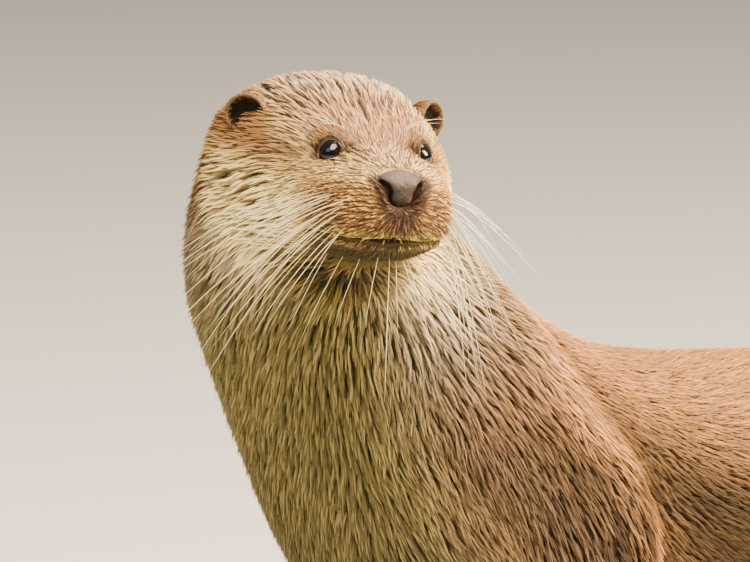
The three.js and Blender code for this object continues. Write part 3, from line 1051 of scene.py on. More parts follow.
@dataclass
class Hide:
    """The one skin over all the flesh: joined, smoothed, set in by the coat's depth, then sculpted.

    Sizes are millimetres. The finished arrays are filled in by build().
    """

    voxel: float = 1.3
    grow: float = 0.6
    smooth_rounds: int = 80
    share_kept: float = 0.17
    shoulder_out: float = 9.0
    shoulder_in: float = 9.0
    smoothing: dict[Part, float] = field(
        default_factory=lambda: {
            Part.HEAD: 0.35,
            Part.NECK: 0.65,
            Part.TRUNK: 0.65,
            Part.TAIL: 0.4,
            Part.UPPER_LEG: 0.5,
            Part.LOWER_LEG: 0.25,
            Part.FOOT: 0.06,
            Part.EAR: 0.1,
        }
    )
    surface: Surface | None = None
    outer: Surface | None = None
    shares: np.ndarray | None = None
    depth: np.ndarray | None = None
    along: np.ndarray | None = None
    upward: np.ndarray | None = None
    side: np.ndarray | None = None
    flow: np.ndarray | None = None

    def _solids(self) -> tuple[Surface, np.ndarray]:
        """The flesh's solids in one mesh, with the Part of each triangle.

        Returns:
            The mesh, and a number of Part for each of its triangles.
        """
        solids, labels = [], []
        for name, part in [*NODE_PARTS.items(), *((name, Part.HEAD) for name in UNDER_SKIN)]:
            solid = surface_of(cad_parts[name])
            solid.points = solid.points + solid.normals() * self.grow * MM
            solids.append(solid)
            labels.append(np.full(len(solid.triangles), part.value))
        return join(solids), np.concatenate(labels)

    @staticmethod
    def _modified(
        surface: Surface, kind: str, settings: dict[str, object], weights: np.ndarray | None = None
    ) -> Surface:
        """The mesh after one of Blender's modifiers.

        Args:
            surface: The mesh before.
            kind: The modifier's type.
            settings: What to set on the modifier.
            weights: Weights of the vertex group that the settings name, if any.

        Returns:
            The mesh after.
        """
        made = mesh_object("work", surface)
        if weights is not None:
            group = made.vertex_groups.new(name=settings["vertex_group"])
            for level in np.unique(np.round(weights, 1)):
                group.add(np.flatnonzero(np.round(weights, 1) == level).tolist(), level, "REPLACE")
        modifier = made.modifiers.new(kind.lower(), kind)
        for name, value in settings.items():
            setattr(modifier, name, value)
        result = surface_of(made)
        bpy.data.meshes.remove(made.data)
        return result

    @staticmethod
    def _label(surface: Surface, solids: BVHTree, labels: np.ndarray) -> np.ndarray:
        """Which Part each vertex belongs to, by the nearest solid.

        Args:
            surface: The mesh.
            solids: The solids' triangles.
            labels: The Part of each of those triangles.

        Returns:
            For each vertex a row with a 1 at its Part.
        """
        found = [solids.find_nearest(p)[2] for p in surface.points.tolist()]
        shares = np.zeros((len(surface.points), len(Part)))
        shares[np.arange(len(found)), labels[found]] = 1.0
        return shares

    def build(self) -> None:
        """Fills in the skin, the coat's depth over it and the lie of the coat."""
        solids, labels = self._solids()
        joined = self._modified(
            solids, "REMESH", {"mode": "VOXEL", "voxel_size": self.voxel * MM, "adaptivity": 0.0}
        )
        log.info("hide: %d points after joining", len(joined.points))
        tree = solids.tree()
        rough = joined.spread(self._label(joined, tree, labels), 12)
        amount = rough @ np.array([self.smoothing[part] for part in Part])
        # Every other round pushes the head back out, which keeps its size.
        back = -0.5 * rough[:, Part.HEAD] * amount
        for turn in range(self.smooth_rounds):
            joined.points = joined.spread(joined.points, 1, back if turn % 2 else amount)
        keep = np.clip(rough[:, Part.HEAD] * 0.9 + rough[:, Part.FOOT] * 0.9, 0.0, 1.0)
        thinning = {"ratio": self.share_kept, "vertex_group": "keep"}
        thinning |= {"invert_vertex_group": True, "vertex_group_factor": 6.0}
        thin = self._modified(joined, "DECIMATE", thinning, keep)
        log.info("hide: %d triangles after thinning", len(thin.triangles))
        self.outer = refine(thin, self._detail, 4)
        fine = ramp(self._detail(self.outer.points), 1.6, 0.9)
        self.outer.points = self.outer.spread(self.outer.points, 8, 0.5 * fine)
        self._measure(tree, labels)
        self._sculpt()
        log.info("hide: %d triangles in the end", len(self.surface.triangles))

    @staticmethod
    def _detail(points: np.ndarray) -> np.ndarray:
        """The longest edge wanted at each place, in millimetres.

        Args:
            points: Row frame points, in metres.

        Returns:
            One length for each point.
        """
        local = HEAD.local(points)
        coarse = 99.0
        wanted = np.full(len(points), coarse)
        for eye in EYES:
            away = eye.away(local)
            wanted = np.minimum(wanted, np.where(away < 9.5, 0.5, coarse))
            wanted = np.minimum(wanted, np.where(away < 13, 0.9, coarse))
        lips = (np.abs(local[:, 2] - MOUTH.level) < 3.5) & (local[:, 0] > MOUTH.corner - 4)
        wanted = np.minimum(wanted, np.where(lips, 0.7, coarse))
        return np.minimum(wanted, np.where(local[:, 0] > 70, 1.0, coarse))

    def _measure(self, tree: BVHTree, labels: np.ndarray) -> None:
        """Finds the parts, the place along the body, and the coat's sizes at each vertex.

        Args:
            tree: The solids' triangles.
            labels: The Part of each of those triangles.
        """
        outer = self.outer
        self.shares = outer.spread(self._label(outer, tree, labels), 14)
        self.along, way, offset = BODY_LINE.nearest(outer.points)
        cosine = (square_to(offset, way) * square_to(UP, way)).sum(axis=1)
        self.upward = outer.spread(cosine, 10)
        self.side = outer.spread(offset[:, 1].astype(float), 4)
        self.depth = outer.spread(self.sizes(outer.points, self.shares)["depth"], 20)

    @staticmethod
    def sizes(points: np.ndarray, shares: np.ndarray) -> dict[str, np.ndarray]:
        """The coat's depth, length, width, density and lock size at places on the body.

        Args:
            points: Row frame points, in metres.
            shares: How much each point belongs to each Part.

        Returns:
            For each of Growth's fields, one number per point, with the face's own sizes blended in.
        """
        local = HEAD.local(points)
        ahead, left, up = local[:, 0], np.abs(local[:, 1]), local[:, 2]
        head = shares[:, Part.HEAD]
        eye = np.max([bell(each.away(local), 8.5) for each in EYES], axis=0)
        front = np.clip(ramp(ahead, 44, 66) * (1 - 0.7 * ramp(up, -33, -37)) + eye, 0, 1) * head
        cheek = ramp(up, 8, -14) * ramp(ahead, 58, 30) * ramp(left, 14, 34) * head
        cheek = np.maximum(cheek, ramp(up, -30, -44) * ramp(ahead, 70, 45) * head)
        crown = np.clip(head - front - cheek, 0, 1)
        fore = shares[:, Part.TRUNK] * ramp(points[:, 0], 0.09, 0.15)
        face = ((front, MUZZLE_GROWTH), (crown, CROWN_GROWTH), (cheek, CHEEK_GROWTH))
        total = np.maximum(front + cheek + crown, 1e-6)
        body = shares[:, [part.value for part in GROWTH]]
        found = {}
        for value in ("depth", "length", "width", "density", "lock"):
            usual = body @ np.array([getattr(growth, value) for growth in GROWTH.values()])
            own = sum(share * getattr(growth, value) for share, growth in face) / total
            finer = 1 - SHOULDER_FINER.get(value, 0.0) * fore
            found[value] = (usual + head * own) * finer
        return found

    def _sculpt(self) -> None:
        """Sets the skin in by the coat's depth, then forms the lids and lips."""
        outer = self.outer
        normals = unit(outer.spread(outer.normals(), 6))
        points = outer.points - normals * self.depth[:, None] * MM
        points += normals * self._shoulder(outer.points)[:, None] * MM
        skin = Surface(points, outer.triangles)
        skin.points = skin.spread(skin.points, 6, 0.4 * ramp(self.depth, 2.0, 5.0))
        local = HEAD.local(skin.points)
        local[:, 0] -= NOSE.recess * NOSE.under(local)
        for eye in EYES:
            gap = eye.away(local)[eye.openness(local) < 1]
            log.info("eye: skin was %.1f to %.1f mm from its centre", gap.min(), gap.max())
            local = eye.press(local)
        local -= (skin.normals() @ HEAD.axes().T) * MOUTH.groove(local)[:, None]
        skin.points = HEAD.place(local)
        self.surface = skin
        self.flow = self._lie(skin)

    def _shoulder(self, points: np.ndarray) -> np.ndarray:
        """How far the shoulder stands out over the flank behind it, in millimetres.

        Args:
            points: Row frame points, in metres.

        Returns:
            One height for each point.
        """
        ahead, share = shoulder_edge(points)
        form = self.shoulder_out * bell(ahead - 13, 12) - self.shoulder_in * bell(ahead + 7, 7)
        return form * share * ramp(np.abs(self.side) / MM, 18, 40)

    def _lie(self, skin: Surface) -> np.ndarray:
        """The way the coat lies at each vertex: from the nose backwards, and down the legs.

        Args:
            skin: The finished skin.

        Returns:
            A unit vector along the skin for each vertex.
        """
        normals = skin.normals()
        local = HEAD.local(skin.points)
        ahead, left, up = local[:, 0], local[:, 1], local[:, 2]
        away = unit(local - np.array([86.0, 0.0, -14.0]))
        away[:, 0] -= 0.35
        away[:, 1] += 0.55 * np.sign(left) * ramp(np.abs(left), 2, 14) * ramp(up, 16, -10)
        away[:, 2] -= 0.55 * ramp(np.abs(left), 10, 34) * ramp(up, 6, -22)
        away[:, 2] -= 0.9 * ramp(up, -30, -36) * ramp(ahead, 60, 74)
        way = BODY_LINE.nearest(skin.points)[1]
        flows = np.zeros((len(Part), *skin.points.shape))
        flows[Part.HEAD] = unit(away @ HEAD.axes())
        lower = ramp(self.along, 0.04, 0.2)
        upper = ramp(self.along, 0.2, 0.04) * ramp(left, 24, -14)
        back = np.array([-1.0, 0.0, 0.0])
        round_it = 1.2 * ramp(self.along, 0.03, 0.1) * ramp(self.upward, -0.75, -0.2)
        flows[Part.NECK] = (
            way * (0.35 + 0.4 * lower)[:, None]
            - UP
            + back * round_it[:, None]
            - HEAD.axes()[0] * (0.9 * upper)[:, None]
        )
        sides = 1 - np.abs(self.upward)
        past = shoulder_edge(skin.points)[0]
        steep = 0.05 + (0.12 + 0.4 * ramp(past, -14, 10)) * sides
        round_it = 0.6 * ramp(past, 0, 30)
        flows[Part.TRUNK] = way - UP * steep[:, None] + back * round_it[:, None]
        flows[Part.TAIL] = way
        nearest = np.full(len(skin.points), 9.0)
        for line in LEG_LINES:
            _, leg_way, offset = line.nearest(skin.points)
            away = np.linalg.norm(offset, axis=1)
            closer = away < nearest
            nearest = np.where(closer, away, nearest)
            for part in LEG_PARTS:
                flows[part][closer] = leg_way[closer]
        flow = (flows * self.shares.T[:, :, None]).sum(axis=0)
        for _ in range(12):
            flow = square_to(skin.spread(flow, 3), normals)
        return flow

    def dress(self, markings: Markings) -> bpy.types.Object:
        """Makes the skin object in place of the nodes of flesh.

        Args:
            markings: The coat's colours.

        Returns:
            The skin.
        """
        colours = markings.paint(self.surface.points, self.shares, self.along, self.upward)
        local = HEAD.local(self.surface.points)
        ahead = ramp(local[:, 0], 44, 62) * self.shares[:, Part.HEAD]
        # The hide is lighter under the pale throat patch, which also holds painted light.
        colours = colours * (0.5 + 0.2 * ahead + 0.3 * markings.pale(local))[:, None]
        # Painted shade on the mouth's line, inside it and on the lower lip's edge; a darker ring round
        # the lids.
        dark = np.maximum(MOUTH.shade(local), 0.85 * MOUTH.edge(local))
        for eye in EYES:
            lid = bell(eye.openness(local) - 0.95, 0.22) * ramp(eye.away(local), 13, 9)
            dark = np.maximum(dark, lid * 0.75)
        made = mesh_object("skin", self.surface, mix(colours, markings.bare_edge_and_shade, dark))
        made.data.materials.append(HIDE.material())
        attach(made, "root")
        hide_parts(*NODE_PARTS)
        return made


# ---- Ears, eyes, nose, claws and whiskers ------------------------------------------------------


@dataclass(frozen=True)
class Ear:
    """One small round cupped ear, low on the side of the head. Millimetres in the head's axes."""

    side: int
    ahead: float = 3.0
    apart: float = 42.0
    height: float = 6.0
    half_wide: float = 9.0
    half_tall: float = 8.6
    outward: float = 40.0
    steps: int = 48
    profile: tuple[tuple[float, float], ...] = (
        (0.0, -5.2), (0.3, -4.9), (0.55, -4.0), (0.75, -2.4),
        (0.88, -0.7), (0.95, 0.2), (1.0, 0.0), (1.03, -1.0),
        (1.02, -3.2), (0.95, -6.0), (0.8, -9.0), (0.6, -12.0),
    )

    def axes(self) -> np.ndarray:
        """Rows in the head's axes: outwards across the ear, up it, and where it faces.

        Returns:
            Three unit vectors.
        """
        turn = math.radians(self.outward)
        look = np.array([math.cos(turn), self.side * math.sin(turn), 0.1])
        return facing_axes(look / np.linalg.norm(look), self.side)

    def centre(self) -> np.ndarray:
        """The middle of the ear's rim in the head's axes."""
        return np.array([self.ahead, self.side * self.apart, self.height])

    def surface(self) -> Surface:
        """The ear's skin: a bowl, its rolled rim, and its back going down into the head.

        Returns:
            The skin in the row frame, in metres.
        """
        rows = np.array(self.profile)
        fine = np.linspace(0, len(rows) - 1, 4 * len(rows))
        radius = np.interp(fine, np.arange(len(rows)), rows[:, 0])
        height = np.interp(fine, np.arange(len(rows)), rows[:, 1])
        for _ in range(3):
            radius[1:-1] = (radius[:-2] + 2 * radius[1:-1] + radius[2:]) / 4
            height[1:-1] = (height[:-2] + 2 * height[1:-1] + height[2:]) / 4
        angle = np.arange(self.steps) * 2 * math.pi / self.steps
        rise = np.sin(angle)
        lower = np.where(rise < -0.2, 1 - 0.12 * (-0.2 - rise), 1.0)
        x = radius[:, None] * np.cos(angle) * self.half_wide * lower
        y = radius[:, None] * rise * self.half_tall
        z = height[:, None] - 1.5 * ramp(-y, 2, 9) * ramp(radius, 0.4, 1.0)[:, None]
        local = np.stack([x, y, z], -1).reshape(-1, 3) @ self.axes()
        faces = ring_faces(len(fine), self.steps, self.side < 0)
        return Surface(HEAD.place(local + self.centre()), faces)

    def place_in(self, points: np.ndarray) -> tuple[np.ndarray, np.ndarray]:
        """Each point's distance from the ear's middle, 1 at its rim, and its height over the rim."""
        x, y, z = ((HEAD.local(points) - self.centre()) @ self.axes().T).T
        return np.hypot(x / self.half_wide, y / self.half_tall), z


EARS = (Ear(side=1), Ear(side=-1))


@dataclass(frozen=True)
class EarSkins:
    """The skin of both ears in one piece, darker than the fur that covers it."""

    surfaces: Sequence[Surface]
    shade: float = 0.6

    def build(self, markings: Markings) -> bpy.types.Object:
        """Makes the ears in place of their CAD nodes.

        Args:
            markings: The coat's colours.

        Returns:
            Both ears in one object.
        """
        places = [ear.place_in(surface.points) for ear, surface in zip(EARS, self.surfaces)]
        colours = np.concatenate([markings.paint_ear(*place) * self.shade for place in places])
        made = mesh_object("ears", join(self.surfaces), colours)
        made.data.materials.append(HIDE.material())
        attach(made, "root")
        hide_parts("ear_left", "ear_right")
        return made


@dataclass(frozen=True)
class Eyeball:
    """One eyeball: near-black pupil, dark brown iris, and a cornea that stands out a little."""

    eye: Eye
    bulge: float = 0.35
    pupil: str = "#060403"
    iris: str = "#120a06"
    white: str = "#1d130d"
    rings: int = 40
    steps: int = 56

    def build(self) -> bpy.types.Object:
        """Makes the eyeball in place of its CAD node.

        Returns:
            The eyeball.
        """
        eye = self.eye
        tilt = np.linspace(0.0, math.pi, self.rings)[:, None]
        angle = np.arange(self.steps)[None] * 2 * math.pi / self.steps
        reach = eye.radius + self.bulge * ramp(tilt, 0.75, 0.3)
        way = np.stack(
            [np.sin(tilt) * np.cos(angle), np.sin(tilt) * np.sin(angle), np.cos(tilt) + 0 * angle], -1
        )
        local = (way * reach[..., None]).reshape(-1, 3) @ eye.axes() + eye.centre()
        out = np.broadcast_to(tilt, (self.rings, self.steps)).ravel()
        colours = mix(linear(self.pupil), self.iris, ramp(out, 0.32, 0.5))
        colours = mix(colours, self.white, ramp(out, 0.88, 1.0))
        name = "eye_left" if eye.side > 0 else "eye_right"
        faces = ring_faces(self.rings, self.steps, eye.side < 0)
        made = mesh_object(f"{name}_ball", Surface(HEAD.place(local), faces), colours)
        made.data.materials.append(CORNEA.material())
        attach(made, "root")
        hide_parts(name)
        return made


@dataclass(frozen=True)
class Lids:
    """The moist lid edges and the small pink corner of each eye next to the nose."""

    half_thick: float = 0.42
    thicker: float = 0.12
    upper: str = "#2b1d15"
    lower: str = "#8f6f5b"
    pink: str = "#b98c7c"
    steps: int = 73
    sides: int = 8

    def build(self) -> bpy.types.Object:
        """Makes the lid edges of both eyes.

        Returns:
            All of them in one object.
        """
        tubes, colours = [], []
        turn = np.linspace(0, 2 * math.pi, self.steps)
        width = self.half_thick + self.thicker * np.cos(turn * 2)
        light = ramp(np.sin(np.repeat(turn, self.sides)), 0.3, -0.4)
        for eye in EYES:
            path = eye.edge(turn, 1.03, eye.radius + 0.25)
            tubes.append(tube_mesh([HEAD.place(path)], [width * MM], self.sides))
            colours.append(mix(linear(self.upper), self.lower, light))
            outer = eye.edge(np.array([math.pi + 0.25]), 0.9, eye.radius + 0.1)
            inner = eye.edge(np.array([math.pi + 0.3]), 0.74, eye.radius + 0.05)
            path = np.concatenate([outer, (outer + inner) / 2, inner])
            tubes.append(tube_mesh([HEAD.place(path)], [np.array([0.75, 0.6, 0.15]) * MM], 10))
            colours.append(np.broadcast_to(linear(self.pink), tubes[-1].points.shape))
        made = mesh_object("eyelid_edges", join(tubes), np.concatenate(colours))
        made.data.materials.append(LID.material())
        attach(made, "root")
        return made


@dataclass(frozen=True)
class Nose:
    """The bare nose pad: broad above, pointed below, with a comma nostril on each side."""

    ahead: float = 82.6
    height: float = -6.8
    recess: float = 4.6
    half_wide: float = 10.8
    top: float = 5.6
    bottom: float = 12.2
    deep: float = 7.0
    pit_deep: float = 4.2
    leather: str = "#2a1f19"
    # Painted highlight on the pad's upper part, as if lit from above, not wear.
    worn: str = "#54443a"
    # Painted shade in the nostrils and round them.
    nostril_shade: str = "#060302"
    pink: str = "#b58a7a"
    rings: int = 56
    steps: int = 160
    nostril: tuple[tuple[float, float, float], ...] = (
        (9.4, 1.0, 0.6), (8.8, 0.1, 1.7), (8.0, -1.3, 2.6), (7.3, -3.0, 2.7),
        (6.5, -4.9, 1.9), (5.6, -6.5, 0.9), (5.1, -7.6, 0.35),
    )

    def outline(self, angle: np.ndarray) -> tuple[np.ndarray, np.ndarray]:
        """The pad's edge at each angle, left and up from its middle.

        Args:
            angle: Angles round the pad's middle, in radians.

        Returns:
            Left and up, in millimetres.
        """
        rise = np.sin(angle)
        up = np.where(rise > 0, self.top * rise, self.bottom * rise)
        pinch = np.where(rise < 0, 1 - 0.52 * np.abs(rise) ** 1.3, 1 - 0.1 * rise**2)
        return np.cos(angle) * self.half_wide * pinch, up

    def under(self, local: np.ndarray) -> np.ndarray:
        """1 on the skin behind the pad, falling to 0 round it."""
        return ramp(self.share(local), 1.0, 0.7) * ramp(local[:, 0], 66, 74)

    def share(self, local: np.ndarray) -> np.ndarray:
        """How far out from the pad's middle each point lies: 1 on its edge.

        Args:
            local: Places in the head's axes, in millimetres.

        Returns:
            One number for each place.
        """
        left, up = local[:, 1], local[:, 2] - self.height
        edge_left, edge_up = self.outline(np.arctan2(up / 8.0, left / self.half_wide))
        return np.hypot(left, up) / np.maximum(np.hypot(edge_left, edge_up), 1e-6)

    def pit(self, left: np.ndarray, up: np.ndarray, swell: float = 1.0) -> np.ndarray:
        """1 inside a nostril, or inside one this much wider, falling to 0 outside it.

        Args:
            left: Distances left of the pad's middle, in millimetres.
            up: Distances above it.
            swell: How much wider the nostril is taken to be.

        Returns:
            One number for each place.
        """
        side = np.abs(left)
        found = np.zeros_like(side)
        rows = self.nostril
        for (x0, y0, w0), (x1, y1, w1) in zip(rows, rows[1:]):
            run = np.array([x1 - x0, y1 - y0])
            share = ((side - x0) * run[0] + (up - y0) * run[1]) / (run @ run)
            share = np.clip(share, 0, 1)
            away = np.hypot(side - x0 - share * run[0], up - y0 - share * run[1])
            width = w0 + (w1 - w0) * share
            found = np.maximum(found, ramp(away / width, 1.15 * swell, 0.5 * swell))
        return np.clip(found, 0, 1)

    def build(self) -> bpy.types.Object:
        """Makes the nose pad in place of its CAD node.

        Returns:
            The nose pad.
        """
        share = np.linspace(0, 1.0, self.rings)[:, None]
        angle = np.arange(self.steps)[None] * 2 * math.pi / self.steps
        edge_left, edge_up = self.outline(angle)
        left, up = share * edge_left, share * edge_up
        dome = self.deep * np.sqrt(np.clip(1 - (share * 0.985) ** 2.8, 0, 1))
        ahead = dome - 0.36 * np.sqrt(up**2 + 36.0) - 0.12 * up
        side = np.abs(left)
        ahead += 0.9 * bell(np.hypot(side / 4.6, (up + 4.2) / 5.2), 0.72)
        ahead += 1.6 * bell(np.hypot((side - 9.6) / 1.2, (up + 2.8) / 2.8), 0.8)
        ahead += 0.6 * bell(np.hypot(side - 4.6, up - 1.2), 2.2)
        ahead -= 0.7 * bell(left, 0.5) * ramp(up, -3.0, -7.5)
        ahead -= 0.35 * bell(left, 1.2) * ramp(up, -1.0, 2.0)
        pit = self.pit(left, up)
        ahead -= self.pit_deep * pit
        pebbles = waves(np.stack([ahead, left, up], -1).reshape(-1, 3) * MM, 1.1, 31)
        ahead += 0.07 * pebbles.reshape(ahead.shape) * (1 - pit)
        local = np.stack([ahead, left, up], -1).reshape(-1, 3)
        local += np.array([self.ahead - 1.0, 0.0, self.height])
        # Painted highlight: the pad's upper part is coloured lighter, as if lit from above.
        upper = ramp(up + 0.35 * side, -1.5, 3.5).ravel()
        colours = mix(linear(self.leather), self.worn, upper)
        colours *= (1 + 0.12 * waves(local * MM, 3.0, 21))[:, None]
        spot = bell(np.hypot(left - 5.6, up + 6.0), 1.3).ravel()
        colours = mix(colours, self.pink, 0.8 * spot)
        # Painted shade: near black in the nostrils' pits and in a wider ring round them.
        round_it = np.maximum(np.clip(pit * 1.1, 0, 1), 0.8 * self.pit(left, up, 1.7))
        colours = mix(colours, self.nostril_shade, round_it.ravel())
        pad = Surface(HEAD.place(local), ring_faces(self.rings, self.steps))
        made = mesh_object("nose_pad", pad, colours)
        made.data.materials.append(NOSE_LEATHER.material())
        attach(made, "root")
        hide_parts("nose")
        return made


NOSE = Nose()


@dataclass(frozen=True)
class Claws:
    """Curved, tapered horn claws, each from its CAD node's root to its point."""

    arch: float = 0.16
    sunk: float = 0.25
    tip_thick: float = 0.12
    root_tint: str = "#3a2b21"
    tip_tint: str = "#a08c74"
    steps: int = 12
    sides: int = 10

    def build(self) -> bpy.types.Object:
        """Makes all the claws in place of their CAD nodes.

        Returns:
            The claws in one object.
        """
        names = [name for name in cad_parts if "_claw_" in name]
        paths, radii = [], []
        share = np.linspace(0, 1, self.steps)
        for name in names:
            paw = surface_of(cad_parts[name.split("_claw_")[0]]).points.mean(axis=0)
            points = surface_of(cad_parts[name]).points
            tip = points[np.argmax(np.linalg.norm(points - paw, axis=1))]
            reach = np.linalg.norm(points - tip, axis=1)
            butt = points[reach > 0.8 * reach.max()]
            root = butt.mean(axis=0)
            width = 0.5 * np.linalg.norm(butt - root, axis=1).mean() + 0.5 * MM
            root = root + (root - tip) * self.sunk
            path = root + (tip - root) * share[:, None]
            path[:, 2] += self.arch * np.linalg.norm(tip - root) * np.sin(share * math.pi)
            paths.append(path)
            radii.append(width * (1 - share**1.7) + self.tip_thick * MM)
        along = np.tile(np.repeat(share, self.sides), len(names))
        colours = mix(linear(self.root_tint), self.tip_tint, along)
        made = mesh_object("claws", tube_mesh(paths, radii, self.sides), colours)
        made.data.materials.append(HORN.material())
        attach(made, "root")
        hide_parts(*names)
        return made


@dataclass(frozen=True)
class Whiskers:
    """Stiff pale whiskers on the upper lip, chin, brow and cheek. Millimetres, head's axes."""

    rows: int = 5
    in_row: int = 6
    on_chin: int = 5
    on_brow: int = 3
    thick: float = 0.4
    root_tint: str = "#a8946a"
    tip_tint: str = "#f2e4bd"
    points: int = 14
    sides: int = 5
    seed: int = 11

    def build(self, skin: Surface) -> bpy.types.Object:
        """Makes all the whiskers as one mesh, each rooted on the skin.

        Args:
            skin: The hide.

        Returns:
            The whiskers in one object.
        """
        rng = np.random.default_rng(self.seed)
        tree = skin.tree()
        grown: list[tuple[np.ndarray, float]] = []
        for side in (-1, 1):
            for row in range(self.rows):
                for step in range(self.in_row):
                    f, r = step / (self.in_row - 1), row / (self.rows - 1)
                    drop = -12.0 - 3.7 * row + rng.normal() * 0.8
                    root = np.array([77 - 19 * f - 2 * r + rng.normal() * 0.7, 0.0, drop])
                    out = np.array([0.25, side * 1.0, 0.0])
                    way = np.array([-0.35 - 0.3 * f, side * (0.80 - 0.15 * r), -0.28 - 0.55 * r])
                    way += rng.normal(size=3) * 0.1
                    length = (46 + 38 * f) * rng.uniform(0.7, 1.05)
                    droop = rng.uniform(0.18, 0.46)
                    grown.append((self._grow(tree, root, out, way, length, droop), length))
            for step in range(self.on_chin):
                root = np.array([70 - 7 * step, 0.0, -33.0])
                out = np.array([0.2, side * (0.25 + 0.3 * step), -0.5])
                way = np.array([-0.1, side * (0.1 + 0.14 * step), -1.0]) + rng.normal(size=3) * 0.08
                length = rng.uniform(26, 58)
                grown.append((self._grow(tree, root, out, way, length, 0.15), 0.4 * length))
            for step in range(self.on_brow):
                root = np.array([46 - 4 * step, side * 60.0, 9.0 - 2 * step])
                way = np.array([0.1, side * (0.7 + 0.1 * step), 0.5]) + rng.normal(size=3) * 0.06
                out = np.array([0.3, side * 0.6, 0.7])
                grown.append((self._grow(tree, root, out, way, 16 + 3 * step, 0.3), 4))
        share = np.linspace(0, 1, self.points)
        taper = 0.5 * self.thick * MM * (1 - share**2.2 * 0.88)
        radii = [taper * (0.65 + 0.35 * weight / 80) for _, weight in grown]
        along = np.tile(np.repeat(share, self.sides), len(grown))
        colours = mix(linear(self.root_tint), self.tip_tint, ramp(along, 0.0, 0.3))
        tubes = tube_mesh([path for path, _ in grown], radii, self.sides)
        made = mesh_object("whiskers", tubes, colours)
        made.data.materials.append(WHISKER.material())
        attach(made, "root")
        return made

    def _grow(
        self,
        tree: BVHTree,
        root: np.ndarray,
        out: np.ndarray,
        way: np.ndarray,
        length: float,
        droop: float,
    ) -> np.ndarray:
        """Finds where a whisker leaves the skin, and its path from there.

        Args:
            tree: The hide's triangles.
            root: A place inside the head, level with the whisker's root.
            out: The way from there to the root.
            way: The way that the whisker sets out.
            length: Its length, in millimetres.
            droop: How far its tip hangs down, as a share of its length.

        Returns:
            Points along its middle, in metres.
        """
        inside = HEAD.place(root * np.array([1.0, 0.2, 1.0]))
        hit = tree.ray_cast(Vector(inside), Vector(unit(out) @ HEAD.axes()), 0.09)[0]
        start = HEAD.local(np.array([hit if hit is not None else inside]))[0]
        share = np.linspace(0, 1, self.points)[:, None]
        path = unit(way) @ HEAD.axes() * share - UP * droop * share**2
        return HEAD.place(start - unit(out) * 0.6) + path * length * MM


# ---- The coat ----------------------------------------------------------------------------------


@dataclass(frozen=True)
class CoatPiece:
    """One mesh of the coat, where it grows and how many tufts it holds."""

    name: str
    parts: tuple[Part, ...]
    tufts: int
    side: int = 0
    ahead_of: float = -math.inf
    behind: float = math.inf


@dataclass
class Tufts:
    """What is known of the tufts at their roots, with one row of each array for a tuft."""

    root: np.ndarray
    shares: np.ndarray
    normal: np.ndarray
    flow: np.ndarray
    along: np.ndarray
    upward: np.ndarray
    piece: np.ndarray
    lock: np.ndarray | None = None
    crest: np.ndarray | None = None
    guard: np.ndarray | None = None

    def add(self, others: Tufts) -> None:
        """Puts other tufts after these."""
        for name in ("root", "shares", "normal", "flow", "along", "upward", "piece"):
            setattr(self, name, np.concatenate([getattr(self, name), getattr(others, name)]))


